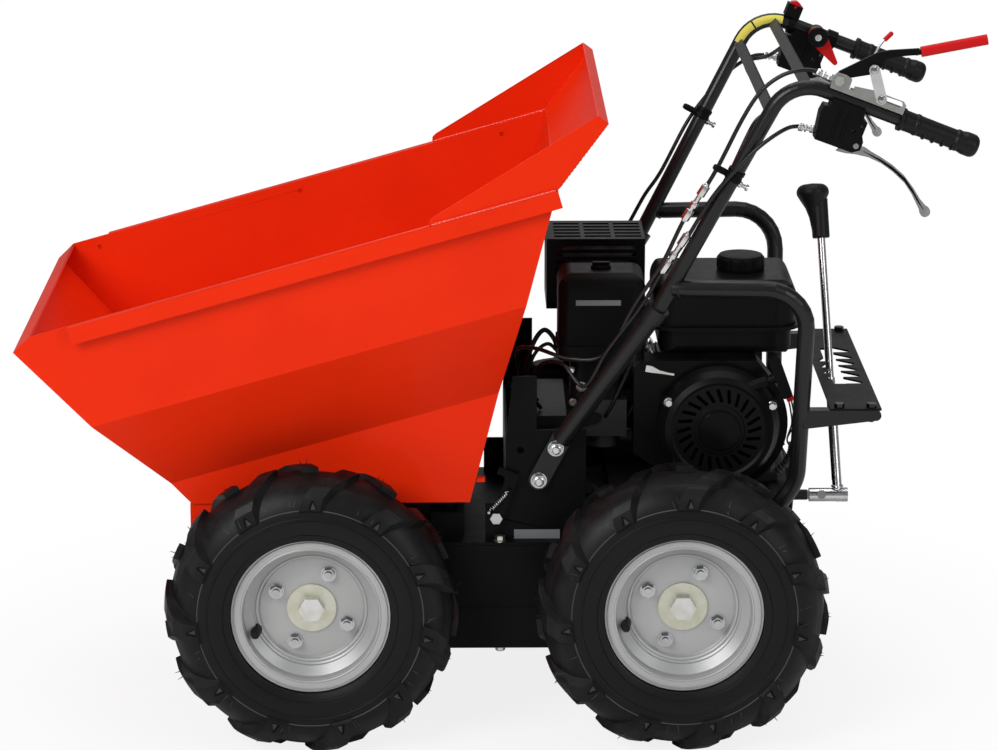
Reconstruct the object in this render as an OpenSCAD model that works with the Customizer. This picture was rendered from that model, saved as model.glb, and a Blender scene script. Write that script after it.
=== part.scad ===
// Motorised concrete buggy: a four-wheel walk-behind dumper with a tipping tub,
// a single-cylinder engine and a handlebar. +X points rearwards to the handlebar,
// +Y to the machine's right-hand side and +Z up. The origin is on the ground,
// under the middle of the machine. Heights are given with the axles at axle_z,
// and the whole drawing is then raised until the tyres stand on the ground.

/* [Wheels] */
// Distance between the front and rear axles
wheelbase = 542; // [530:1:560]
// Place of the front axle along X
front_axle_x = -268.5; // [-275:0.5:-262]
// Distance between the middle planes of the left and right tyres
track = 586; // [580:1:610]
// Radius of the tyre over its lugs
wheel_r = 215; // [212:0.5:218]
// Width of the tyre carcass
tyre_w = 112; // [108:1:114]
// Thickness of the tyre's rubber wall
tyre_wall = 9; // [7:0.5:11]
// Lugs on each half of the tread
lug_count = 11; // [8:1:13]
// Height of the lugs at the crown
lug_h = 8.5; // [6:0.5:10]
// Thickness of the tread under the lugs, over the carcass
tread_t = 7.5; // [6:0.5:9]
// Thickness of the rim's sheet
rim_wall = 3; // [2.5:0.1:3.5]
// Bolt circle of the wheel studs
stud_pcd = 114; // [110:1:116]
// Diameter of a wheel stud
stud_d = 12; // [10:0.5:13]
// Diameter of the driven half shaft
shaft_d = 30; // [26:1:32]

/* [Tub] */
// Half of the tub's width at the rim
tub_half_w = 305; // [300:1:309]
// Half of the tub's width at the upper fold
tub_upper_half_w = 290; // [284:1:296]
// Half of the tub's width below the lower fold
tub_lower_half_w = 200; // [194:1:204]
// Sheet thickness of the tub
tub_wall = 3; // [2:0.5:4]
// Slope of the rim, rising to the rear
rim_slope = 15.8; // [15:0.1:16.6]
// Depth of the upper fold below the rim
fold_upper = 155; // [150:1:160]
// Depth of the lower fold below the rim
fold_lower = 291; // [285:1:297]
// Width of the rim's turned-out flange
rim_flange_w = 13; // [11:0.5:15]
// Depth of the flange's turned-down edge
rim_flange_h = 25; // [20:1:30]
// Diameter of the holes along the rim
rim_hole_d = 7; // [5:0.5:9]
// Height of the tub's floor
tub_floor_z = 338; // [336:1:341]

/* [Frame] */
// Half of the chassis width
chassis_half_w = 200; // [196:1:203]
// Height of the chassis underside
chassis_z0 = 112; // [108:1:118]
// Height of the chassis top edge
chassis_z1 = 273; // [271:1:275]
// Sheet thickness of the chassis and the engine frame
plate = 4; // [3:0.5:5]
// Height of the engine deck
deck_z = 339; // [338:1:341]
// Half of the engine deck's width
deck_half_w = 190; // [186:1:191]
// Half of the tower's width over its side plates
tower_half_w = 180; // [178:1:182]
// Diameter of the guard hoops
hoop_d = 25; // [22:0.5:27]
// Diameter of the handlebar's lower tube
socket_d = 28; // [25:0.5:29]
// Diameter of the handlebar's upper tube
bar_d = 22; // [20:0.5:24]
// Half of the distance between the two grips
grip_half_w = 299; // [295:1:303]
// Downward slope of the grips
grip_slope = 20.8; // [19.5:0.1:22]

/* [Engine] */
// Height of the crankshaft above the engine deck
crank_h = 106; // [104:0.5:108]
// Place of the crankshaft along X
crank_x = 331; // [329:1:334]
// Radius of the starter cover
starter_r = 91; // [86:1:94]
// Slots in the starter cover
starter_slots = 24; // [16:1:28]
// Radius of the engine's belt pulley
engine_pulley_r = 38; // [34:1:40]
// Radius of the gearbox's belt pulley
gearbox_pulley_r = 52; // [48:1:54]

/* [Clearances] */
// Gap between pieces that move past each other
gap = 0.3; // [0.2:0.05:0.4]
// Radial clearance of a shaft that turns in its bore
running = 0.06; // [0.03:0.01:0.09]

/* [Hidden] */
$fn = 48;
eps = 0.01;

AXLES = ["front", "rear"];
SIDES = ["left", "right"];
WHEEL_PIECES = ["tyre", "rim", "hub", "fasteners"];

// Colours, as the photograph shows them
RED = [0.86, 0.12, 0.05];
BLACK = [0.06, 0.06, 0.065];
SATIN = [0.13, 0.13, 0.135];
RUBBER = [0.045, 0.045, 0.045];
SILVER = [0.72, 0.73, 0.74];
ZINC = [0.78, 0.78, 0.74];
GREY = [0.33, 0.33, 0.34];

function unit(v) = v / norm(v);
function mix(a, b, t) = a + (b - a) * t;

// Shared shapes

// A side-view outline (x, z) made solid between two places along Y
module side_extrude(y0, y1) {
    translate([0, y1, 0]) rotate([90, 0, 0]) linear_extrude(y1 - y0) children();
}

// A rear-view outline (y, z) made solid between two places along X
module end_extrude(x0, x1) {
    translate([x0, 0, 0]) rotate([90, 0, 90]) linear_extrude(x1 - x0) children();
}

// A rectangle with round corners, centred
module round_rect(w, h, r) {
    square([w - 2 * r, h], center = true);
    square([w, h - 2 * r], center = true);
    for (x = [-1, 1]) for (y = [-1, 1]) translate([x * (w / 2 - r), y * (h / 2 - r)]) circle(r);
}

// A rectangle standing on the X axis with only its upper corners round
module arch_rect(w, h, r) {
    translate([0, h / 2]) round_rect(w, h, r);
    translate([-w / 2, 0]) square([w, h / 2]);
}

// A moulded box standing on z = 0: round corners in plan and round upper edges
module soft_box(w, d, h, r_plan, r_top) {
    intersection() {
        linear_extrude(h) round_rect(w, d, r_plan);
        side_extrude(-d, d) arch_rect(w, h, r_top);
        end_extrude(-w, w) arch_rect(d, h, r_top);
    }
}

// Points along an arc
function arc(c, r, a0, a1, n) = [for (i = [0:n])
    c + r * [cos(a0 + (a1 - a0) * i / n), sin(a0 + (a1 - a0) * i / n)]];

// The outline round two circles and their outer tangents
module belt_outline(p, q, rp, rq, n = 16) {
    v = q - p;
    lead = atan2(v.y, v.x);
    tilt = acos((rp - rq) / norm(v));
    polygon(concat(arc(p, rp, lead + tilt, lead + 360 - tilt, n), arc(q, rq, lead - tilt, lead + tilt, n)));
}

// A straight round bar between two points
module rod(p, q, d) {
    v = q - p;
    translate(p) rotate([0, acos(v.z / norm(v)), atan2(v.y, v.x)]) cylinder(h = norm(v), d = d);
}

// The middle line of a bent tube: straight stretches joined by bends of one radius
function bent_path(pts, bend_r, steps) = let (n = len(pts))
    [for (i = [0:n - 1]) each i == 0 || i == n - 1 ? [pts[i]] : bend_points(pts[i - 1], pts[i],
        pts[i + 1], bend_r, steps)];
function bend_points(p, q, r, bend_r, steps) =
    let (u = unit(q - p), v = unit(r - q), turn = acos(u * v), inward = unit(v - u * (u * v)),
         start = q - u * bend_r * tan(turn / 2))
    [for (i = [0:steps]) let (t = turn * i / steps) start + bend_r * (u * sin(t) + inward * (1 - cos(t)))];

// A point on the smooth curve through hand-chosen points
function curve_point(p, i, t) =
    let (n = len(p), a = p[max(i - 1, 0)], b = p[i], c = p[min(i + 1, n - 1)], d = p[min(i + 2, n - 1)])
    0.5 * ((2 * b) + (c - a) * t + (2 * a - 5 * b + 4 * c - d) * t * t + (3 * b - a - 3 * c + d) * t * t * t);
function curve(p, steps) = concat(
    [for (i = [0:len(p) - 2]) for (s = [0:steps - 1]) curve_point(p, i, s / steps)], [p[len(p) - 1]]);

// A flexible tube swept along a list of points
module swept_tube(path, d, sides) {
    n = len(path);
    function tangent(i) = unit(path[min(i + 1, n - 1)] - path[max(i - 1, 0)]);
    function side_of(t) = unit(cross(t, abs(t.y) < 0.95 ? [0, 1, 0] : [1, 0, 0]));
    points = [for (i = [0:n - 1]) let (t = tangent(i), u = side_of(t), v = cross(t, u))
        for (k = [0:sides - 1]) path[i] + d / 2 * (u * cos(360 * k / sides) + v * sin(360 * k / sides))];
    skin = [for (i = [0:n - 2]) for (k = [0:sides - 1]) for (f = [0, 1])
        let (a = i * sides + k, b = i * sides + (k + 1) % sides)
        f == 0 ? [a, b + sides, b] : [a, a + sides, b + sides]];
    ends = [for (k = [1:sides - 2]) for (f = [0, 1])
        f == 0 ? [0, k, k + 1] : [(n - 1) * sides, (n - 1) * sides + k + 1, (n - 1) * sides + k]];
    polyhedron(points, concat(skin, ends));
}

// A hexagon-headed bolt along +Z, its head on z = 0
module hex_bolt(af, head_h, d, length) {
    cylinder(h = head_h, d = af / cos(30), $fn = 6);
    translate([0, 0, -length]) cylinder(h = length + eps, d = d);
}

// Wheels, each drawn about its own axle with +Z outwards

rear_axle_x = front_axle_x + wheelbase;
function axle_x(axle) = axle == "front" ? front_axle_x : rear_axle_x;

flange_r = 115.5;
flange_a = 37;
bead_r = 101.6;
bead_half_w = 32.5;
well_r = 88;
disc_face = -3.5;
disc_bore_r = 30.3;
disc_step_r = 75;
hub_flange_t = 12;
hub_flange_r = 68;
stud_angle = 64;
hub_barrel_r = 34;
hub_end = -60;
// The carcass reaches from inside the bead to the tread, and the tread to the foot of the lugs
tread_r = wheel_r - lug_h;
carcass_r1 = tread_r - tread_t;
carcass_r0 = bead_r - 14.6;
carcass_r = (carcass_r0 + carcass_r1) / 2;
// Height of the axles in this drawing, which is then set on its tyres
axle_z = 207.5;
ride = wheel_r - axle_z;
shaft_end_y = 130;
bearing_face_y = 224;

module place_wheel(axle, side) {
    translate([axle_x(axle), 0, axle_z]) mirror([0, side == "left" ? 0 : 1, 0])
        translate([0, -track / 2, 0]) rotate([90, 0, 0]) children();
}

// The carcass's section, round unless the wheel's radius is changed, less a depth all round
module carcass_section(depth) {
    translate([carcass_r, 0]) scale([(carcass_r1 - carcass_r0 - 2 * depth) / (tyre_w - 2 * depth), 1])
        circle(d = tyre_w - 2 * depth);
}

// The tread's outer profile, from the crown down over both shoulders
module lug_profile() {
    shoulder = tyre_w / 2;
    for (s = [0, 1]) mirror([0, s]) difference() {
        polygon([[carcass_r, 0], [wheel_r, 0], [wheel_r - 1.5, 20], [wheel_r - 6, 36], [wheel_r - 15, 50],
                 [wheel_r - 30, shoulder + 2], [wheel_r - 50, shoulder + 2],
                     [carcass_r1 - 40, shoulder - 4]]);
        carcass_section(2);
    }
}

// One slanted tread bar, from just past the crown to the shoulder
module lug_prism(r0, r1) {
    sweep = 46;
    reach = tyre_w / 2 + 4;
    translate([r1, 0, 0]) rotate([0, -90, 0]) linear_extrude(r1 - r0)
        polygon([[-4, -13], [reach * 0.5, sweep * 0.36 - 12], [reach, sweep - 13], [reach, sweep + 16],
                 [reach * 0.5, sweep * 0.36 + 15], [-4, 12]]);
}

module tyre() {
    pitch = 360 / lug_count;
    color(RUBBER) {
        rotate_extrude($fn = 96) difference() {
            union() {
                carcass_section(0);
                polygon(concat([[carcass_r - 10, 0]], [for (t = [-80:20:80])
                    [carcass_r + (tread_r - carcass_r) * cos(t), tyre_w / 2 * sin(t)]]));
            }
            difference() {
                carcass_section(tyre_wall);
                for (s = [0, 1]) mirror([0, s]) translate([0, bead_half_w - 11])
                    square([flange_r + 15, tyre_w]);
            }
            translate([0, -tyre_w]) square([bead_r + 0.2, 2 * tyre_w]);
            for (s = [0, 1]) mirror([0, s]) translate([0, bead_half_w]) square([flange_r + 1.5, tyre_w]);
        }
        intersection() {
            rotate_extrude($fn = 96) lug_profile();
            union() for (i = [0:lug_count - 1]) {
                rotate(i * pitch - 90) lug_prism(carcass_r, wheel_r + 4);
                rotate((i + 0.5) * pitch - 90) mirror([0, 0, 1]) lug_prism(carcass_r, wheel_r + 4);
            }
        }
    }
}

module rim() {
    t = rim_wall;
    color(SILVER) difference() {
        rotate_extrude($fn = 96) {
            polygon([[flange_r, flange_a], [bead_r + 2.4, 35.5], [bead_r, 33], [bead_r - 1, 20], [well_r, 10],
                     [well_r, -10], [bead_r - 1, -20], [bead_r, -33], [bead_r + 2.4, -35.5],
                         [flange_r, -flange_a],
                     [flange_r, -flange_a - t], [bead_r - 0.2, -39], [bead_r - t - 0.2, -34],
                     [bead_r - t - 1, -22], [well_r - t, -12], [well_r - t, 12], [bead_r - t - 1, 22],
                     [bead_r - t - 0.2, 34], [bead_r - 0.2, 39], [flange_r, flange_a + t]]);
            polygon([[disc_bore_r, disc_face], [disc_step_r, disc_face], [80, 2], [well_r - t + eps, 6],
                     [well_r - t + eps, 1], [82, -2.5], [disc_step_r + 2, disc_face - t],
                     [disc_bore_r, disc_face - t]]);
        }
        for (i = [0:3]) rotate(i * 90 + stud_angle) translate([stud_pcd / 2, 0, disc_face - t - 1])
            cylinder(h = t + 2, d = stud_d + 1);
    }
}

module hub() {
    back = disc_face - rim_wall;
    color(GREY) difference() {
        union() {
            translate([0, 0, back - hub_flange_t]) cylinder(h = hub_flange_t, r = hub_flange_r);
            translate([0, 0, back - eps]) cylinder(h = rim_wall + eps, r = disc_bore_r - gap);
            translate([0, 0, hub_end]) cylinder(h = back - hub_flange_t - hub_end + eps, r = hub_barrel_r);
            translate([0, 0, shaft_end_y - track / 2])
                cylinder(h = track / 2 - shaft_end_y + hub_end + eps, d = shaft_d);
        }
        for (i = [0:3]) rotate(i * 90 + stud_angle) translate([stud_pcd / 2, 0, back - hub_flange_t - 1])
            cylinder(h = hub_flange_t + 2, d = stud_d + 0.4);
        translate([0, 0, -45]) cylinder(h = 50, d = 16.4);
    }
}

module fasteners() {
    back = disc_face - rim_wall - hub_flange_t;
    washer_t = 4;
    color(ZINC) {
        for (i = [0:3]) rotate(i * 90 + stud_angle) translate([stud_pcd / 2, 0, 0]) {
            translate([0, 0, back]) cylinder(h = 30, d = stud_d);
            translate([0, 0, disc_face]) cylinder(h = 2.5, d = stud_d + 11);
            translate([0, 0, disc_face]) cylinder(h = 11, d = 17 / cos(30), $fn = 6);
        }
        translate([0, 0, disc_face]) cylinder(h = washer_t, r = 36);
        translate([0, 0, disc_face + washer_t - eps]) hex_bolt(33, 12, 16, 40);
    }
}

module wheel_piece(axle, side, piece) {
    place_wheel(axle, side) {
        if (piece == "tyre") tyre();
        if (piece == "rim") rim();
        if (piece == "hub") hub();
        if (piece == "fasteners") fasteners();
    }
}

// Tub, tipping about a pin at the front of the chassis

lip = [-689.5, 595.5];
rim_start = [-665.7, 618.8];
rim_end_x = 88;
rim_end = [rim_end_x, rim_start.y + tan(rim_slope) * (rim_end_x - rim_start.x)];
floor_front = [-447, tub_floor_z];
floor_rear = [-37, tub_floor_z];
tip_pivot = [-400, 290];
tip_pin_d = 16;
hinge_plate_t = 10;
tub_foot_half_w = tub_lower_half_w - 5;
wing_half_w = tub_half_w + 5;

// Where two lines meet, each given by a point and a direction
function meet(p, d, q, e) = let (w = q - p) p + d * ((w.x * e.y - w.y * e.x) / (d.x * e.y - d.y * e.x));
function turned(d) = [d.y, -d.x];
// A line of points moved sideways by w, to the right of its direction
function inset(p, w) = let (n = len(p), d = [for (i = [0:n - 2]) unit(p[i + 1] - p[i])])
    [for (i = [0:n - 1]) i == 0 ? p[0] + turned(d[0]) * w
        : i == n - 1 ? p[i] + turned(d[n - 2]) * w
        : meet(p[i] + turned(d[i - 1]) * w, d[i - 1], p[i] + turned(d[i]) * w, d[i])];

front_dir = unit(lip - floor_front);
rear_dir = unit(rim_end - floor_rear);
// Where the rear panel stands at a height
function rear_panel_x(z) = floor_rear.x + (z - floor_rear.y) * rear_dir.x / rear_dir.y;

// Half of the section across the rim, from above the rim down past the floor
flare = (tub_half_w - tub_upper_half_w) / fold_upper;
tub_section = [[tub_half_w + flare * 80, 80], [tub_upper_half_w, -fold_upper],
               [tub_lower_half_w, -fold_lower], [tub_lower_half_w - 13, -700]];
module mirrored_section(p) {
    polygon(concat(p, [for (i = [len(p) - 1:-1:0]) [-p[i].x, p[i].y]]));
}

// A section across the rim made solid along the rim, from u0 to u1
module along_rim(u0, u1) {
    translate([rim_start.x, 0, rim_start.y]) rotate([0, -rim_slope, 0]) end_extrude(u0, u1) children();
}

module tub_outer() {
    intersection() {
        side_extrude(-400, 400) polygon([lip, rim_start, rim_end, floor_rear, floor_front]);
        along_rim(-300, 1000) mirrored_section(tub_section);
    }
}

module tub_inner() {
    side = inset([lip + front_dir * 300, floor_front, floor_rear, rim_end + rear_dir * 300], -tub_wall);
    intersection() {
        side_extrude(-400, 400) polygon(side);
        along_rim(-300, 1100) mirrored_section(inset(tub_section, tub_wall));
    }
}

module tub() {
    w = tub_half_w;
    f = rim_flange_w;
    t = tub_wall;
    flange_start = 58;
    rim_len = norm(rim_end - rim_start);
    hem = inset([lip, rim_start], t);
    color(RED) difference() {
        union() {
            difference() {
                tub_outer();
                tub_inner();
            }
            intersection() {
                tub_outer();
                side_extrude(-400, 400) polygon([lip, rim_start, hem[1], hem[0]]);
            }
            for (s = [0, 1]) mirror([0, s, 0]) along_rim(flange_start, rim_len)
                polygon([[w - 2, 0], [w + f, 0], [w + f, -rim_flange_h], [w + f - t, -rim_flange_h],
                         [w + f - t, -t], [w - 2, -t]]);
        }
        for (u = [40, 372, 704]) translate([rim_start.x, 0, rim_start.y]) rotate([0, -rim_slope, 0])
            translate([u, 0, -16]) rotate([90, 0, 0]) cylinder(h = 2 * w - 4, d = rim_hole_d, center = true);
    }
}

// The folded hood welded on the tub's rear rim
module spill_guard() {
    t = tub_wall;
    y = wing_half_w;
    rise = tan(rim_slope);
    function rim_z(x) = rim_start.y + rise * (x - rim_start.x) + gap;
    foot = [-94, rim_z(-94)];
    top = [143.7, 939];
    tip = [159.3, 927.5];
    root = [rim_end_x, rim_z(rim_end_x)];
    back = inset([root, tip, top], -t);
    color(RED) {
        for (s = [0, 1]) mirror([0, s, 0]) side_extrude(-y - t, -y)
            polygon([foot, foot + [0, 8], foot + [5, 13], top, tip, root]);
        side_extrude(-y - eps, y + eps) polygon([root, tip, top, back[2], back[1], back[0]]);
    }
}

// The red plates under the tub that carry its hinge, and the catch that the latch hooks over
module tub_hinge_brackets() {
    z = tub_floor_z - gap;
    catch_z = [368, 374];
    color(RED) side_extrude(-tub_foot_half_w + 2, -tub_foot_half_w + 16)
        polygon([for (e = [[0, gap], [0, 15], [1, 13.5], [1, gap]]) [rear_panel_x(catch_z[e[0]]) + e[1],
            catch_z[e[0]]]]);
    color(RED) for (s = [0, 1]) mirror([0, s, 0]) difference() {
        side_extrude(-tub_foot_half_w, -tub_foot_half_w + hinge_plate_t) {
            polygon([[-450, z], [-450, 294], [tip_pivot.x - 16, tip_pivot.y - 12],
                [tip_pivot.x + 18, tip_pivot.y - 8],
                     [-350, z - 12], [-350, z]]);
            translate(tip_pivot) circle(20);
        }
        translate([tip_pivot.x, 0, tip_pivot.y]) rotate([90, 0, 0])
            cylinder(h = 300, d = tip_pin_d + 2 * running);
    }
}

// Chassis and engine frame

chassis_x0 = -330;
chassis_x1 = 455;
base_z = chassis_z1 + plate;
deck_x0 = 172;
deck_x1 = 440;
tower_x0 = 16;
tower_x1 = 135;
tower_z = 444;
bearing_r = 36;
ear_t = 12;
ear_y = tub_foot_half_w - hinge_plate_t - 3;
selector_z = 289.5;
selector_y = 0;

module chassis_box() {
    w = chassis_half_w;
    color(SATIN) difference() {
        union() {
            translate([chassis_x0, -w, chassis_z0])
                cube([chassis_x1 - chassis_x0, 2 * w, chassis_z1 - chassis_z0]);
            for (a = AXLES) for (s = [-1, 1]) translate([axle_x(a), s * w, axle_z]) rotate([-90 * s, 0, 0])
                cylinder(h = bearing_face_y - w, r = bearing_r);
            for (s = [0, 1]) mirror([0, s, 0]) side_extrude(-ear_y, -ear_y + ear_t) {
                polygon([[chassis_x0 + 1, 268], [chassis_x0 + 1, 205], [tip_pivot.x + 4, tip_pivot.y - 16],
                         [tip_pivot.x + 4, tip_pivot.y + 16]]);
                translate(tip_pivot) circle(17);
            }
        }
        translate([chassis_x0 + plate, -w + plate, chassis_z0 + plate])
            cube([chassis_x1 - chassis_x0 - 2 * plate, 2 * (w - plate), chassis_z1]);
        for (a = AXLES) translate([axle_x(a), 0, axle_z]) rotate([90, 0, 0])
            cylinder(h = 600, d = shaft_d + 2 * running, center = true);
        translate([tip_pivot.x, 0, tip_pivot.y]) rotate([90, 0, 0])
            cylinder(h = 600, d = tip_pin_d + 2 * running, center = true);
    }
}

buffer_x = -70;
buffer_y = 120;
buffer_seat_z = 312;
latch_pivot = [2, 312];
latch_y = tub_foot_half_w - 3;
latch_t = 5;

module engine_frame() {
    t = plate;
    w = tower_half_w;
    cover_half_w = max(chassis_half_w, deck_half_w);
    color(SATIN) difference() {
        union() {
            // Cover plate over the chassis
            translate([chassis_x0, -cover_half_w, chassis_z1]) cube([chassis_x1 - chassis_x0, 2 * cover_half_w, t]);
            // Tower that carries the handlebar and holds the gearbox
            for (s = [0, 1]) mirror([0, s, 0]) side_extrude(-w, -w + t)
                polygon([[-14, base_z - eps], [tower_x1, base_z - eps], [tower_x1, tower_z], [62, tower_z],
                         [62, 526], [26, 526], [tower_x0, 420], [tower_x0, 332], [-14, 332]]);
            translate([tower_x0, -w + eps, base_z - eps]) cube([t, 2 * w - 2 * eps, tower_z - 24 - base_z]);
            // Engine deck
            translate([deck_x0, -deck_half_w, deck_z - t]) cube([deck_x1 - deck_x0, 2 * deck_half_w, t]);
            for (s = [0, 1]) mirror([0, s, 0]) translate([deck_x0, -deck_half_w, base_z - eps])
                cube([deck_x1 - deck_x0, t, deck_z - base_z]);
            // Rail under the tub's buffers
            translate([buffer_x - 25, -buffer_y - 40, base_z - eps])
                cube([50, 2 * buffer_y + 80, buffer_seat_z - base_z]);
        }
        for (b = handle_bolts) translate([b.x, 0, b.y]) rotate([90, 0, 0])
            cylinder(h = 600, d = 12.4, center = true);
        translate([latch_pivot.x, 0, latch_pivot.y]) rotate([90, 0, 0]) cylinder(h = 300, d = 10.1);
        translate([38, 0, 413]) rotate([90, 0, 0]) cylinder(h = 600, d = 10, center = true);
        translate([tower_x0 - 1, selector_y, selector_z]) rotate([0, 90, 0]) cylinder(h = 30, d = 24);
    }
}

module tub_buffers() {
    color(RUBBER) for (s = [-1, 1]) translate([buffer_x, s * buffer_y, buffer_seat_z])
        cylinder(h = tub_floor_z - gap - buffer_seat_z, d = 30);
}

// Gearbox in the tower, with its pulley on the right-hand side

belt_y = 160;
belt_w = 13;
gearbox_c = [88, 395];
engine_c = [crank_x, deck_z + crank_h];
gearbox_half_w = 128;
pulley_bore_d = 20;
selector_d = 16;

module gearbox() {
    w = gearbox_half_w;
    color(GREY) difference() {
        union() {
            side_extrude(-w, w) polygon([[26, base_z], [128, base_z], [128, 400], [112, 432], [46, 432],
                [26, 405]]);
            side_extrude(-w + 20, w - 20) polygon([[40, 430], [118, 430], [108, 446], [52, 446]]);
            translate([gearbox_c.x, w, gearbox_c.y]) rotate([-90, 0, 0]) cylinder(h = 12, r = 26);
            for (y = [-90, -45, 0, 45, 90]) translate([126, y - 3, base_z]) cube([8, 6, 100]);
        }
        translate([gearbox_c.x, w - 40, gearbox_c.y]) rotate([-90, 0, 0])
            cylinder(h = 60, d = pulley_bore_d + 2 * running);
        translate([60, selector_y, selector_z]) rotate([0, 90, 0])
            cylinder(h = 80, d = selector_d + 2 * running);
    }
}

// A grooved belt pulley along +Y, its middle plane at y = 0
module pulley(r, shaft_back) {
    half = 9;
    rotate([-90, 0, 0]) {
        rotate_extrude() difference() {
            translate([0, -half]) square([r + 4, 2 * half]);
            polygon([[r - 9, -4], [r - 9, 4], [r + 5, 7.6], [r + 5, -7.6]]);
        }
        translate([0, 0, -shaft_back]) cylinder(h = shaft_back + half + 4, d = pulley_bore_d);
    }
}
module engine_pulley() {
    color(GREY) translate([engine_c.x, belt_y, engine_c.y]) pulley(engine_pulley_r, belt_y - 70);
}
module gearbox_pulley() {
    color(GREY) translate([gearbox_c.x, belt_y, gearbox_c.y]) pulley(gearbox_pulley_r, belt_y - 100);
}

module drive_belt() {
    out = 2.5;
    color(RUBBER) side_extrude(belt_y - 4.2, belt_y + 4.2) difference() {
        belt_outline(engine_c, gearbox_c, engine_pulley_r + out, gearbox_pulley_r + out);
        belt_outline(engine_c, gearbox_c, engine_pulley_r - 7, gearbox_pulley_r - 7);
    }
}

guard_grow = 14;
guard_y0 = gearbox_half_w + 14;
guard_y1 = tower_half_w - plate - 0.5;
idler_pivot = [176, 528];
idler_c = [214, 506];
idler_r = 16;
module belt_guard() {
    r = [engine_pulley_r + guard_grow, gearbox_pulley_r + guard_grow];
    color(SATIN) {
        difference() {
            side_extrude(guard_y0, guard_y1) belt_outline(engine_c, gearbox_c, r[0], r[1], 24);
            side_extrude(guard_y0 - 1, guard_y1 - 1.5)
                belt_outline(engine_c, gearbox_c, r[0] - 2, r[1] - 2, 24);
            // Window for the idler
            translate([idler_c.x - 42, guard_y0 - 1, idler_c.y - 46]) cube([70, guard_y1 - guard_y0 - 3, 60]);
        }
        // Ear that holds the idler's pivot
        side_extrude(guard_y1 - 5, guard_y1) belt_outline(idler_pivot, idler_pivot - [10, 50], 12, 14);
    }
}

// Idler that tightens the belt when the clutch lever is squeezed

module idler_arm() {
    y = belt_y;
    color(ZINC) {
        translate([idler_c.x, y, idler_c.y]) rotate([90, 0, 0]) cylinder(h = 14, r = idler_r, center = true);
        translate([idler_c.x, y - 10, idler_c.y]) rotate([90, 0, 0]) cylinder(h = 8, r = 6, center = true);
        difference() {
            side_extrude(y - 17, y - 12) belt_outline(idler_pivot, idler_c, 11, 9);
            translate([idler_pivot.x, y, idler_pivot.y]) rotate([90, 0, 0])
                cylinder(h = 40, d = 10 + 2 * running, center = true);
        }
    }
}

// Guard hoops behind the engine, with the arms that carry the shift gate

hoop_foot_y = deck_half_w + hoop_d / 2 + gap;
gate_z = 489;
gate_t = 3;
gate_x0 = 488;
gate_x1 = 563;
gate_half_w = 241;
gate_bolts = [[502, 231], [549, 231]];
gate_arm_y0 = 220;
gate_arm_x0 = 450;

socket_foot = [98, -tower_half_w - socket_d / 2 - gap, 433];
socket_top = [236, -257, 648];
socket_dir = unit(socket_top - socket_foot);
socket_bore = 70;
handle_bolts = [[64.9, 370], [89.7, 419]];
foot_t = 9;

// The hoops, the arms of the shift gate and the handlebar's sockets, all welded to the frame
module hoops() {
    path = [[271.8, -266, 679], [449, -278, 679], [445, -hoop_foot_y, 372], [392, -hoop_foot_y, 296]];
    color(SATIN) for (s = [0, 1]) mirror([0, s, 0]) {
        swept_tube(bent_path(path, 62, 7), hoop_d, 20);
        difference() {
            side_extrude(-gate_half_w + 1, -gate_arm_y0)
                polygon(concat([[gate_arm_x0, gate_z - 28], [gate_arm_x0, gate_z]],
                               arc([gate_x1 - 8, gate_z - 8], 8, 90, -100, 8)));
            for (b = gate_bolts) translate([b.x, -b.y, gate_z - 40]) cylinder(h = 60, d = 8.4);
        }
        difference() {
            union() {
                rod(socket_foot, socket_top, socket_d);
                rod(socket_top - socket_dir * 22, socket_top, socket_d + 6);
                // Flattened foot against the tower
                side_extrude(-tower_half_w - foot_t, -tower_half_w)
                    belt_outline(handle_bolts[0], [socket_foot.x, socket_foot.z], 15, 15);
            }
            rod(socket_top - socket_dir * socket_bore, socket_top + socket_dir, bar_d + 2 * gap);
            for (b = handle_bolts) translate([b.x, 0, b.y]) rotate([90, 0, 0]) cylinder(h = 300, d = 12.4);
        }
    }
}

// Gear lever: it leans sideways on the selector shaft and swings into the gate's notches

lever_lean = 17;
lever_pitch = 10;
lever_notches = [-1, 0, 1, 2, 3, 4];
lever_foot_x = 528;
lever_top = [505, 404];
lever_d = 12;
lever_pin_x = 502;
sleeve_d = 22;
sleeve_x0 = 483;
sleeve_x1 = 543;
gate_rise = gate_z + gate_t / 2 - selector_z;
function lever_x(rise) = lever_foot_x + (lever_top.x - lever_foot_x) * rise / lever_top.y;
function notch_y(k) = selector_y + gate_rise * tan(lever_lean - k * lever_pitch);
slot_x = lever_x(gate_rise);
slot_half = lever_d / 2 + 3;
slot_y0 = notch_y(4) - slot_half - 4;
slot_y1 = notch_y(-1) + slot_half + 4;
notch_x1 = slot_x + 34;

module shift_gate() {
    color(SATIN) difference() {
        translate([gate_x0, -gate_half_w, gate_z]) cube([gate_x1 - gate_x0, 2 * gate_half_w, gate_t]);
        translate([slot_x - slot_half, slot_y0, gate_z - 1])
            cube([2 * slot_half, slot_y1 - slot_y0, gate_t + 2]);
        for (k = lever_notches) translate([0, notch_y(k), gate_z - 1]) linear_extrude(gate_t + 2)
            polygon([[slot_x, -slot_half - 3], [notch_x1 - 3, -slot_half - 2], [notch_x1, -slot_half + 1],
                     [notch_x1, -slot_half + 8], [slot_x + slot_half, 23], [slot_x, 23]]);
        // Saw teeth on the lever's side of the slot
        for (k = [0, 1, 2, 3]) translate([slot_x - slot_half + eps, notch_y(k) - 14, gate_z - 1])
            linear_extrude(gate_t + 2)
            polygon([[0, -12], [0, 14], [-11, -9], [-11, -12]]);
        for (b = gate_bolts) for (s = [-1, 1]) translate([b.x, s * b.y, gate_z - 5])
            cylinder(h = 10, d = 8.4);
    }
}

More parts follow.
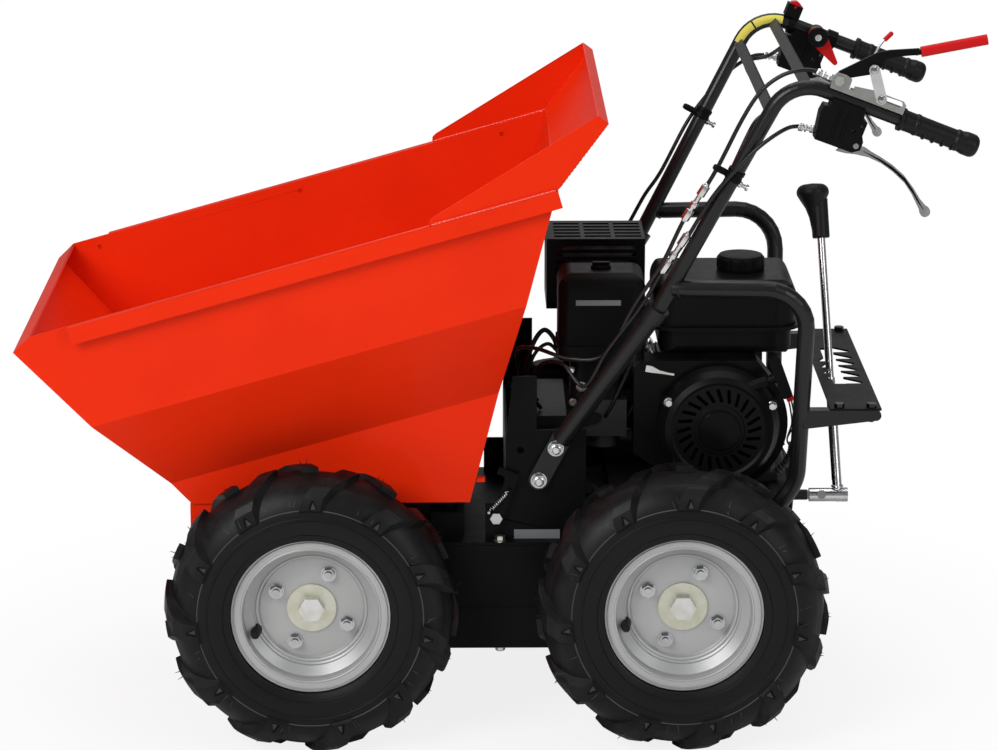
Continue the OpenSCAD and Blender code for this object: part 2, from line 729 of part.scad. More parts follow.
// Everything on the selector shaft leans with it
module leaned() {
    translate([0, selector_y, selector_z]) rotate([-lever_lean, 0, 0]) children();
}

shaft_flat = 12;
module selector_shaft() {
    color(ZINC) leaned() difference() {
        union() {
            translate([62, 0, 0]) rotate([0, 90, 0]) cylinder(h = sleeve_x0 - 64, d = selector_d);
            translate([sleeve_x0 - 3, -shaft_flat / 4, -selector_d / 2 + 1])
                cube([40, shaft_flat / 2, selector_d - 2]);
        }
        translate([lever_pin_x, 0, 0]) rotate([90, 0, 0])
            cylinder(h = 40, d = 8 + 2 * running, center = true);
    }
}

module shift_lever() {
    slot_w = shaft_flat / 2 + 2 * gap;
    color(ZINC) leaned() {
        difference() {
            union() {
                translate([sleeve_x0 + 1, 0, 0]) rotate([0, 90, 0])
                    cylinder(h = sleeve_x1 - sleeve_x0 - 1, d = sleeve_d);
                rod([lever_foot_x, 0, 0], [lever_x(180), 0, 180], lever_d + 3);
                rod([lever_x(170), 0, 170], [lever_x(lever_top.y + 30), 0, lever_top.y + 30], lever_d);
            }
            translate([sleeve_x0 - 1, -slot_w / 2, -sleeve_d]) cube([44, slot_w, 2 * sleeve_d]);
        }
        translate([lever_pin_x, 0, 0]) rotate([90, 0, 0]) cylinder(h = sleeve_d + 8, d = 8, center = true);
        for (s = [-1, 1]) translate([lever_pin_x, s * (sleeve_d / 2 + 2), 0]) rotate([90, 0, 0])
            cylinder(h = 5, d = 15, center = true, $fn = 6);
    }
}

module shift_knob() {
    tilt = atan2(lever_top.x - lever_foot_x, lever_top.y);
    color(RUBBER) leaned() translate([lever_top.x, 0, lever_top.y]) rotate([0, tilt, 0]) difference() {
        union() {
            translate([0, 0, -9]) rotate_extrude() polygon([[0, 0], [12.6, 0], [13.4, 2], [13.6, 60], [0, 68]]);
            // The head bulges forwards over the stem
            translate([-8.5, 0, -9]) rotate_extrude()
                polygon(concat([[0, 12], [5, 12], [8, 32], [13, 47], [19.5, 58]],
                               arc([12.5, 71], 12.5, -20, 90, 8), [[0, 85]]));
        }
        translate([0, 0, -10]) cylinder(h = 41, d = lever_d + 2 * running);
    }
}

// Handlebar: two bent bars held in the sockets, with two braces between them

bar_corner = [414, 990.8];
bar_start = socket_top - socket_dir * (socket_bore - 1);
grip_end_l = 279;
control_l = 64.4;
// The braces' places and the half width between the bars there
braces = [[388, 941, -bar_point(941).y], [441, 973, grip_half_w - 0.7]];
brace_w = 15;
brace_t = 8;

// A point on the left bar's straight stretch at a height
function bar_point(z) = let (k = (z - socket_top.z) / (bar_corner.y - socket_top.z))
    mix(socket_top, [bar_corner.x, -grip_half_w, bar_corner.y], k);

// Frame of the controls: x along the left bar towards the grip's end, z square to it
module on_grip(l) {
    translate([bar_corner.x, -grip_half_w, bar_corner.y]) rotate([0, grip_slope, 0]) translate([l, 0, 0])
        children();
}
// Frame of the right-hand controls, the mirror image of the left
module on_right_grip(l) {
    mirror([0, 1, 0]) on_grip(l) children();
}

module handlebars() {
    reach = grip_end_l - 4;
    end = [bar_corner.x + reach * cos(grip_slope), -grip_half_w, bar_corner.y - reach * sin(grip_slope)];
    corner = [bar_corner.x, -grip_half_w, bar_corner.y];
    color(SATIN) {
        for (s = [0, 1]) mirror([0, s, 0])
            swept_tube(bent_path([bar_start, socket_top, corner, end], 58, 9), bar_d, 20);
        for (b = braces) translate([b.x, 0, b.y]) rotate([0, -45, 0])
            cube([brace_w, 2 * (b.z - bar_d / 2 - gap), brace_t], center = true);
    }
}

grip_l = 166;
module grips() {
    r = bar_d / 2 + running;
    len = grip_end_l - grip_l;
    color(RUBBER) for (s = [0, 1]) mirror([0, s, 0]) on_grip(grip_l) rotate([0, 90, 0]) rotate_extrude()
        polygon(concat([[r, 0], [17, 0], [17, 5], [15, 7], [14.8, 22], [15.8, 24], [15.8, 27],
            [14.8, 29], [14.2, len - 30],
                        [15.8, len - 27], [15.8, len - 24], [15, len - 22], [16.8, len - 14]],
                       arc([6.5, len - 4], 10.3, 0, 80, 8), [[0, len + 6.3], [0, len - 3.5],
                           [r, len - 3.5]]));
}

// Hand levers and their housings, drawn in the frame of the controls

hand_pivot = [56, -56];
module lever_housing() {
    w = 32;
    difference() {
        union() {
            rotate([90, 0, 0]) linear_extrude(w, center = true)
                polygon([[1, -4], [50, -4], [53, -18], [59.5, -20], [59.5, -40], [64, -48], [64, -60], [54, -67],
                         [-2, -67.5], [-8.5, -30], [-7, -17.5], [1, -16.5]]);
            // Ribs of the moulded body
            for (x = [18, 31]) translate([x, 0, -36]) cube([3, w + 3, 40], center = true);
        }
        rotate([0, 90, 0]) cylinder(h = 160, d = bar_d + 2 * running, center = true);
        translate([30, -5, -80]) cube([60, 10, 44]);
        translate([hand_pivot.x, 0, hand_pivot.y]) rotate([90, 0, 0])
            cylinder(h = 60, d = 8 + 2 * running, center = true);
        for (x = [46, 55]) translate([x, 0, -28 - (55 - x) * 1.2]) rotate([90, 0, 0])
            cylinder(h = w + 2, d = 6, center = true);
    }
}
module lever_housings() {
    color(BLACK) for (s = [0, 1]) mirror([0, s, 0]) on_grip(control_l) lever_housing();
}

module hand_lever() {
    rotate([90, 0, 0]) linear_extrude(8.6, center = true) {
        translate(hand_pivot) circle(10);
        polygon([[35, -74], [37, -70], [57, -57], [71, -55.5], [83, -58.5], [98.5, -61], [118, -65.5], [139, -73.5],
                 [159, -86], [174, -97.5], [186, -104], [180, -114], [170, -104.5], [158.5, -94], [142.5, -82.5],
                 [121, -73.5], [101, -68], [80.5, -66.5], [61.5, -69], [48, -72.5]]);
        translate([186, -111]) circle(7.5);
    }
    translate([hand_pivot.x, 0, hand_pivot.y]) rotate([90, 0, 0]) cylinder(h = 36, d = 8, center = true);
}
module left_lever() {
    color(SILVER) on_grip(control_l) hand_lever();
}
module right_lever() {
    color(SILVER) on_right_grip(control_l) hand_lever();
}

// Clutch lever over the left grip: a lever, a link and a slotted bracket

clutch_pivot = [-0.7, 21.6];
clutch_pin = [39.6, 53.5];
slot_pin = [64.4, 18.7];
slot_end = [91, 19.6];
clutch_pin_d = 8;
cheek_y = [-15, -12];

module clutch_bracket() {
    r = bar_d / 2;
    color(ZINC) on_grip(control_l) difference() {
        union() {
            side_extrude(cheek_y[0], cheek_y[1])
                polygon([[-9, 8], [-11, 24], [-7, 32], [6, 33], [16, 30], [17, 14], [23, 14], [23, 22],
                    [50, 26], [96, 26],
                         [101, 22], [101, 8]]);
            side_extrude(-cheek_y[1], -cheek_y[0]) polygon([[23, 8], [23, 15], [100, 15], [100, 8]]);
            translate([23, cheek_y[0], r + gap]) cube([77, -2 * cheek_y[0], 2]);
            translate([-9, cheek_y[0], r + gap]) cube([33, 18, 2]);
        }
        translate([clutch_pivot.x, 0, clutch_pivot.y]) rotate([90, 0, 0])
            cylinder(h = 40, d = clutch_pin_d + 2 * running, center = true);
        translate([0, 1, 0]) rotate([90, 0, 0]) linear_extrude(30)
            belt_outline(slot_pin - [2, 0], slot_end, clutch_pin_d / 2 + 1.2, clutch_pin_d / 2 + 1.2);
    }
}

clutch_rod_start = [92, -9.5, 99.4];
clutch_rod_end = [168, -9.5, 146];
module clutch_lever() {
    y = [-11.6, -7.4];
    color(ZINC) on_grip(control_l) {
        difference() {
            side_extrude(y[0], y[1]) {
                translate(clutch_pivot) circle(6.2);
                translate(clutch_pin) circle(8);
                // A bent plate that rises over the link's pin to the sleeve
                polygon([[-8, 26], [-5, 34], [35, 77], [50, 86.5], [88, 103.5], [92.5, 95.5], [60, 80],
                    [50, 72], [47, 56],
                         [40, 46], [14, 31], [8, 19]]);
            }
            translate([clutch_pin.x, 0, clutch_pin.y]) rotate([90, 0, 0])
                cylinder(h = 40, d = clutch_pin_d + 2 * running, center = true);
        }
        translate([clutch_pivot.x, -18, clutch_pivot.y]) rotate([-90, 0, 0])
            cylinder(h = 10, d = clutch_pin_d);
        translate([clutch_pivot.x, -19, clutch_pivot.y]) rotate([-90, 0, 0])
            cylinder(h = 3.6, d = 15, $fn = 6);
        rod(clutch_rod_start - unit(clutch_rod_end - clutch_rod_start) * 8, clutch_rod_end, 8);
    }
}

module clutch_sleeve() {
    dir = unit(clutch_rod_end - clutch_rod_start);
    color(RED) on_grip(control_l) difference() {
        rod(clutch_rod_start, clutch_rod_end + dir * 5, 15);
        rod(clutch_rod_start - dir * 2, clutch_rod_end + dir * 0.2, 8 + 2 * gap);
    }
}

module clutch_link() {
    y = cheek_y[0] - gap;
    color(ZINC) on_grip(control_l) {
        side_extrude(y - 4, y) belt_outline(clutch_pin, slot_pin, 7.5, 7.5);
        translate([clutch_pin.x, y - 5, clutch_pin.y]) rotate([-90, 0, 0])
            cylinder(h = -y - 2.5, d = clutch_pin_d);
        translate([slot_pin.x, y - 5, slot_pin.y]) rotate([-90, 0, 0]) cylinder(h = 8.5, d = clutch_pin_d);
    }
}

// Throttle and stop switch on the right bar, drawn mirrored

throttle_l = 33.8;
throttle_z = 2;
throttle_in = 17.5;
throttle_h = 22;
module right_controls() {
    r = bar_d / 2 + running;
    color(BLACK) on_right_grip(control_l) {
        // Throttle body inside the bar, carried by a strap from its own clamp ring
        difference() {
            union() {
                translate([62, 0, 0]) rotate([0, 90, 0]) cylinder(h = 16, r = r + 2.8, center = true);
                translate([throttle_l, throttle_in, throttle_z]) rotate([-90, 0, 0])
                    cylinder(h = throttle_h, r = 14);
                translate([throttle_l, throttle_in, -6]) cube([34, 5, 14]);
                translate([56, 8, -6]) cube([12, throttle_in - 3, 12]);
            }
            translate([62, 0, 0]) rotate([0, 90, 0]) cylinder(h = 40, r = r, center = true);
            translate([throttle_l, 0, throttle_z]) rotate([-90, 0, 0]) cylinder(h = 90, d = 8 + 2 * running);
        }
        // Stop switch body on top of the bar
        translate([-10, 0, 0]) difference() {
            union() {
                translate([5, 0, 0]) rotate([0, 90, 0]) cylinder(h = 9, r = r + 4, center = true);
                translate([-12, -12, r]) cube([24, 24, 20]);
            }
            rotate([0, 90, 0]) cylinder(h = 30, r = r, center = true);
            translate([-9, -8, r + 9]) cube([18, 16, 20]);
            translate([0, 0, r + 17]) rotate([90, 0, 0]) cylinder(h = 40, d = 4 + 2 * running, center = true);
        }
    }
}

module throttle_lever() {
    color(RED) on_right_grip(control_l) translate([throttle_l, throttle_in + throttle_h + gap, throttle_z]) {
        rotate([-90, 0, 0]) cylinder(h = 14, r = 13);
        translate([0, -18, 0]) rotate([-90, 0, 0]) cylinder(h = 19, d = 8);
        rotate([0, 35, 0]) side_extrude(2, 8) belt_outline([0, 0], [50, 0], 14.5, 4);
    }
}

module stop_rocker() {
    r = bar_d / 2 + running;
    color(RED) on_right_grip(control_l) translate([-10, 0, r + 17]) {
        rotate([90, 0, 0]) linear_extrude(16 - 2 * gap, center = true)
            polygon([[-7.6, -2], [-7.6, 6], [0, 9], [7.6, 6], [7.6, -2], [0, -6]]);
        rotate([90, 0, 0]) cylinder(h = 22, d = 4, center = true);
    }
}

// Latch that holds the tub down, drawn swung back; it hooks over the tub's catch

latch_open = 22;
latch_eye = [4, 360];
spring_pin = [-9, 322];
spring_y = -193.5;
spring_d = 7;
spring_wire = 1.4;
spring_curls = 9;
latch_y0 = -tower_half_w - 4 - latch_t;

function swung(p) = let (v = p - latch_pivot, c = cos(latch_open), s = sin(latch_open))
    latch_pivot + [v.x * c + v.y * s, v.y * c - v.x * s];

module tub_latch() {
    tip = rear_panel_x(372) + 6;
    color(SATIN) translate([latch_pivot.x, 0, latch_pivot.y]) rotate([0, latch_open, 0])
        translate([-latch_pivot.x, 0, -latch_pivot.y]) {
            difference() {
                side_extrude(latch_y0, latch_y0 + latch_t) {
                    translate(latch_pivot) circle(11);
                    polygon([[-5, 308], [12, 308], [9, 386], [tip, 386], [tip, 375.2], [-8, 375.2],
                        [-6, 340]]);
                }
                translate([latch_pivot.x, 0, latch_pivot.y]) rotate([90, 0, 0])
                    cylinder(h = 300, d = 10 + 2 * running);
            }
            translate([latch_eye.x, latch_y0 - 9, latch_eye.y]) rotate([-90, 0, 0]) cylinder(h = 10, d = 4);
        }
}

// A drawn-out coil spring: a straight tail, the curls and a second tail in one wire
module latch_spring() {
    eye = swung(latch_eye);
    a = [spring_pin.x, spring_y, spring_pin.y];
    b = [eye.x, spring_y, eye.y];
    axis = unit(b - a);
    side = unit(cross(axis, [0, 1, 0]));
    up = cross(axis, side);
    r = (spring_d - spring_wire) / 2;
    run = norm(b - a) - 14;
    steps = 8 * spring_curls;
    curls = [for (i = [0:steps]) a + axis * (7 + run * i / steps)
        + r * (side * cos(360 * i / 8) + up * sin(360 * i / 8))];
    tail = 2.4;
    color(ZINC) swept_tube(concat([a + axis * tail, a + axis * 5.6 + side * r * 0.7], curls,
        [b - axis * 5.6 + side * r * 0.7, b - axis * tail]), spring_wire, 6);
    echo(least_self_gap = run / spring_curls - spring_wire);
}

// Bolts and pins of the frame

module frame_bolts() {
    color(ZINC) {
        for (s = [0, 1]) mirror([0, s, 0]) {
            for (b = handle_bolts) translate([b.x, -tower_half_w - foot_t, b.y]) rotate([90, 0, 0]) {
                cylinder(h = 2.5, d = 24);
                hex_bolt(18, 10, 12, foot_t + plate);
            }
            for (b = gate_bolts) translate([b.x, -b.y, gate_z + gate_t]) hex_bolt(13, 6, 8, 22);
            translate([tip_pivot.x, -tub_foot_half_w - gap, tip_pivot.y]) rotate([90, 0, 0])
                cylinder(h = 4, d = 24);
            translate([tip_pivot.x, -tub_foot_half_w - 2, tip_pivot.y]) rotate([-90, 0, 0])
                cylinder(h = 30, d = tip_pin_d);
        }
        translate([latch_pivot.x, latch_y0 - gap, latch_pivot.y]) rotate([90, 0, 0]) hex_bolt(16, 6, 10, 18);
        translate([spring_pin.x, -tower_half_w, spring_pin.y]) rotate([90, 0, 0]) cylinder(h = 17, d = 4);
        // The idler's pivot, held by the belt guard
        translate([idler_pivot.x, belt_y - 18, idler_pivot.y]) rotate([-90, 0, 0])
            cylinder(h = guard_y1 - 5 - belt_y + 18, d = 10);
    }
}

// Engine

crank_z = deck_z + crank_h;
blower_y = -150;
block_half_w = 95;

module crankcase() {
    color(GREY) difference() {
        union() {
            translate([crank_x - 84, -block_half_w + 8, deck_z]) cube([180, 2 * block_half_w - 8, 12]);
            side_extrude(-block_half_w, block_half_w)
                polygon([[262, deck_z], [416, deck_z], [416, 470], [384, 508], [286, 508], [258, 470]]);
            translate([crank_x, block_half_w - 2, crank_z]) rotate([-90, 0, 0]) cylinder(h = 14, r = 40);
            // Finned cylinder, leaning forwards
            translate([crank_x, 10, crank_z]) rotate([0, 25, 0]) {
                translate([-140, 0, -8]) rotate([0, 90, 0]) cylinder(h = 90, r = 34);
                for (i = [0:5]) translate([-76 - i * 9, -65, -46]) cube([4.5, 130, 74]);
                translate([-152, -65, -46]) cube([20, 130, 86]);
            }
            // Muffler post and tank feet
            translate([200, 56, 520]) cube([20, 16, 587.7 - 520]);
            for (x = [300, 388]) translate([x, -70, 500]) cube([14, 100, tank_z0 - 500 - gap]);
        }
        translate([crank_x, 40, crank_z]) rotate([-90, 0, 0])
            cylinder(h = 100, d = pulley_bore_d + 2 * running);
    }
}

module blower_housing() {
    c = [crank_x, crank_z];
    color(BLACK) difference() {
        side_extrude(blower_y, -block_half_w - gap) {
            polygon(concat([[206, 400], [206, 530], [218, 541], [388, 541]], arc(c, 104, 33, -128, 28),
                [[236, 380]]));
        }
        translate([c.x, blower_y + 3, c.y]) rotate([-90, 0, 0]) cylinder(h = 60, r = 84);
        translate([c.x, blower_y - 1, c.y]) rotate([-90, 0, 0]) cylinder(h = 6, r = 80);
    }
}

starter_dir = [cos(20), 0, sin(20)];
starter_at = [412, -178, 522];
module recoil_cover() {
    slot_angle = 360 / starter_slots;
    color(BLACK) difference() {
        union() {
            translate([crank_x, blower_y, crank_z]) rotate([90, 0, 0]) {
                rotate_extrude($fn = 96) polygon([[30, 34.5], [30, 38], [36, 38], [38, 36], [68, 36],
                    [72, 38.5], [80, 34],
                    [starter_r - 4, 22], [starter_r, 12], [starter_r, 0], [starter_r - 4, 0],
                        [starter_r - 4, 11],
                    [starter_r - 8, 20], [77, 30.5], [70, 33], [38, 33]]);
                cylinder(h = 40, r = 31);
                for (a = [24, 152, 268]) rotate(a) translate([starter_r - 6, 0, 0]) cylinder(h = 26, r = 9);
            }
            rod(starter_at - starter_dir * 40, starter_at - starter_dir * 12.3, 17);
        }
        translate([crank_x, blower_y, crank_z]) rotate([90, 0, 0]) for (i = [0:starter_slots - 1])
            rotate(i * slot_angle) translate([52, 0, 30]) rotate(18) cube([21, 5.2, 30], center = true);
        rod(starter_at - starter_dir * 44, starter_at, 5);
    }
}

module starter_handle() {
    color(BLACK) {
        translate(starter_at) rotate([0, -20, 0]) {
            rotate([90, 0, 0]) linear_extrude(21, center = true) translate([8, 0]) round_rect(17, 66, 6);
            rotate([0, -90, 0]) cylinder(h = 12, d1 = 16, d2 = 11);
        }
        rod(starter_at - starter_dir * 38, starter_at, 4);
    }
}

tank_front_x = 237;
tank_near_y = -128;
tank_size = [211, 188];
tank_c = [tank_front_x, tank_near_y] + tank_size / 2;
tank_z0 = 544;
tank_seam_z = 585;
tank_top_z = tank_seam_z + 69;
tank_seam_w = 7;
cap_c = tank_c + [27.5, 0];
neck_d = 52;

module fuel_tank() {
    color(BLACK) {
        translate([tank_c.x, tank_c.y, tank_seam_z - eps])
            soft_box(tank_size.x, tank_size.y, tank_top_z - tank_seam_z, 34, 24);
        translate([tank_c.x, tank_c.y, tank_seam_z - 3]) linear_extrude(5)
            round_rect(tank_size.x + 2 * tank_seam_w, tank_size.y + 2 * tank_seam_w, 40);
        translate([tank_c.x, tank_c.y, tank_seam_z]) mirror([0, 0, 1])
            soft_box(tank_size.x - 12, tank_size.y - 12, tank_seam_z - tank_z0, 30, 14);
        translate([cap_c.x, cap_c.y, tank_top_z - 4]) cylinder(h = 14, d = neck_d);
    }
}

module fuel_cap() {
    color(BLACK) translate([cap_c.x, cap_c.y, tank_top_z + gap]) difference() {
        rotate_extrude() polygon([[0, 11], [neck_d / 2 + 1, 11], [neck_d / 2 + 1, 0], [35, 0], [36, 4],
            [36, 17], [32, 22],
                                  [24, 23], [0, 23]]);
        for (i = [0:11]) rotate(i * 30) translate([37.5, 0, 3]) cylinder(h = 30, r = 3.6);
    }
}

module air_cleaner() {
    color(BLACK) {
        translate([157.5, -112, 544]) soft_box(128, 105, 130, 22, 22);
        translate([157.5, -112, 672]) cylinder(h = 6, r = 15);
        translate([157.5, -112, 676]) linear_extrude(7) round_rect(26, 7, 3);
        translate([157.5, -112, 562]) linear_extrude(5) round_rect(132, 109, 24);
        // Elbow down to the carburettor
        translate([150, -109, 480]) linear_extrude(66) round_rect(76, 66, 20);
    }
}

module muffler() {
    color(GREY) {
        translate([158, 75, 588]) soft_box(132, 106, 86, 30, 28);
        translate([100, 75, 625]) rotate([0, -90, 0]) cylinder(h = 14, d = 24);
    }
}

module muffler_guard() {
    x = [80, tank_front_x - tank_seam_w - 1];
    y = [10, 140];
    z = [582, 690];
    t = 2;
    color(SATIN) {
        difference() {
            translate([x[0], y[0], z[0]]) cube([x[1] - x[0], y[1] - y[0], z[1] - z[0]]);
            translate([x[0] + t, y[0] + t, z[0] - 1])
                cube([x[1] - x[0] - 2 * t, y[1] - y[0] - 2 * t, z[1] - z[0] - t + 1]);
            for (i = [0:6]) translate([x[0] + 14, y[0] - 1, z[0] + 26 + i * 11])
                cube([x[1] - x[0] - 28, 6, 5]);
            for (i = [0:2]) for (j = [0:4]) translate([x[0] + 12 + i * 46, y[0] + 14 + j * 22, z[1] - 6])
                cube([40, 11, 10]);
            for (i = [0:6]) translate([x[0] - 1, y[0] + 18, z[0] + 26 + i * 11])
                cube([5, y[1] - y[0] - 36, 5]);
        }
        for (p = [[101, 84], [147, 62]]) translate([p.x, p.y, 588 + 86 + gap])
            cylinder(h = z[1] - 588 - 86 - 1, r = 7);
    }
}

choke_at = [150, -142, 452];
module carburettor() {
    color(GREY) difference() {
        union() {
            translate([128, -142, 424]) cube([68, 66, 480 - gap - 424]);
            translate([162, -108, 404]) cylinder(h = 22, r = 25);
            translate([190, -88, 442]) cube([36, 12, 36]);
            translate([212, -77, 466]) rotate([-90, 0, 0]) cylinder(h = 22 - gap, r = 10);
        }
        translate([choke_at.x, choke_at.y - 1, choke_at.z]) rotate([-90, 0, 0])
            cylinder(h = 20, d = 6 + 2 * running);
    }
}

module choke_lever() {
    color(BLACK) translate(choke_at - [0, gap, 0]) {
        rotate([90, 0, 0]) linear_extrude(4) belt_outline([0, 0], [-24, -8], 8, 5);
        rotate([-90, 0, 0]) cylinder(h = 16, d = 6);
    }
}

// Control cables: each runs from its lever down a bar to the piece it works

cable_d = 6;
// A point beside the left bar at a height: ahead of it by a, outwards of it by o
function beside(z, a, o) = bar_point(z) + a * [-0.887, 0, 0.46] + o * [0, -1, 0];

module control_cables() {
    // Its end lies square against the lever's housing
    hand = [[450.1, -299, 916.84], [441.6, -299, 918.5], [424, -300, 921], [404, -303.5, 915], beside(897, -8, 17),
            beside(860, 4, 17), beside(810, 14, 11), beside(760, 17, 0), beside(700, 19, 0), beside(640, 24, 0),
            [163, -234, 579], [130, -222, 522], [98, -190, 548], [66, -150, 534], [56, -96, 478], [70, -74, 449]];
    clutch = [[468.5, -308, 990], [446, -304, 998], [424, -302, 999], [398, -298, 989], [372, -293, 967],
              beside(915, 30, 0), beside(830, 27, 0),
              beside(760, 26, 0), beside(700, 27, 0), beside(640, 33, 0), [160, -226, 572], [108, -206, 560],
              [60, -170, 566], [34, -110, 546], [44, -50, 480], [66, -30, 449]];
    throttle = [[462, 252, 950], [430, 240, 930], [392, 200, 926], [390, 0, 926], [390, -200, 926],
                [366, -256, 914], beside(830, 4, -17), beside(740, 4, -18), beside(660, 6, -22), [216, -221, 606],
                [196, -190, 540], [176, -176, 488], [165, -160, 461], [165, -143, 456]];
    color(RUBBER) {
        swept_tube(curve(hand, 4), cable_d, 8);
        swept_tube(curve(clutch, 4), cable_d, 8);
        swept_tube(curve(throttle, 4), cable_d, 8);
        mirror([0, 1, 0]) swept_tube(curve([for (i = [0:11]) hand[i]], 4), cable_d, 8);
    }
}

translate([0, 0, ride]) {
    for (a = AXLES) for (s = SIDES) for (p = WHEEL_PIECES)
        wheel_piece(a, s, p);
    chassis_box();
    engine_frame();
    gearbox();
    tub_buffers();
    hoops();
    handlebars();
    grips();
    lever_housings();
    clutch_bracket();
    shift_gate();
    frame_bolts();
    crankcase();
    blower_housing();
    recoil_cover();
    fuel_tank();
    air_cleaner();
    muffler();
    muffler_guard();
    carburettor();
    control_cables();
    right_controls();
    belt_guard();
    drive_belt();
    tub();
    spill_guard();
    tub_hinge_brackets();
    tub_latch();
    latch_spring();
    clutch_lever();
    clutch_sleeve();
    clutch_link();
    left_lever();
    right_lever();
    throttle_lever();
    stop_rocker();
    selector_shaft();
    shift_lever();
    shift_knob();
    fuel_cap();
    starter_handle();
    choke_lever();
    engine_pulley();
    gearbox_pulley();
    idler_arm();
}
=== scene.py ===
"""Looks of the concrete buggy: materials, fine details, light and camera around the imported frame."""
import math
import random

import bmesh
import bpy
from mathutils import Matrix, Vector
from mathutils.bvhtree import BVHTree


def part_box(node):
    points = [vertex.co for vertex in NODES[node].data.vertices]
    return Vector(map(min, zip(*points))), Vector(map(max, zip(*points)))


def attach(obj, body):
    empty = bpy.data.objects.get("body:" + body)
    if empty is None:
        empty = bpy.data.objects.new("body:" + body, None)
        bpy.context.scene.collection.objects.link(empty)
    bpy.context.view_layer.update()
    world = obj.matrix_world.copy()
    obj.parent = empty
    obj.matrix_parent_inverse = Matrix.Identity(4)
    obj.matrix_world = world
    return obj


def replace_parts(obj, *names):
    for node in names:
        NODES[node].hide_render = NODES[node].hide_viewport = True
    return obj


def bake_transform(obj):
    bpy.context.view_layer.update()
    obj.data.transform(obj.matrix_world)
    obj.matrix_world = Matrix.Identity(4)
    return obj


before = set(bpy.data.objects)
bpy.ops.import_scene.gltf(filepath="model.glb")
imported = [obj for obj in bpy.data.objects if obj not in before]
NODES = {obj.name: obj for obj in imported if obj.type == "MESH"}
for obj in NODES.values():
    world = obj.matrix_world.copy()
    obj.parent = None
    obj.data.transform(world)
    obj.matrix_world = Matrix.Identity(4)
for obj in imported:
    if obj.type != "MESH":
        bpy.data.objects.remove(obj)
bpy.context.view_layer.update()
MM = 0.001
WHEELS = ("front_left", "front_right", "rear_left", "rear_right")
# The details are drawn in millimetres with the axles at 207.5 mm, and this lifts them to the frame
RIDE = 7.5
# The tyre's carcass is an ellipse about a ring, and its slanted lugs follow at one pitch, in degrees
CARCASS_R = 143.0
CARCASS_RISE = 63.5
CARCASS_HALF_W = 56.0
LUG_COUNT = 11
LUG_PITCH = 360 / LUG_COUNT


# Material helpers

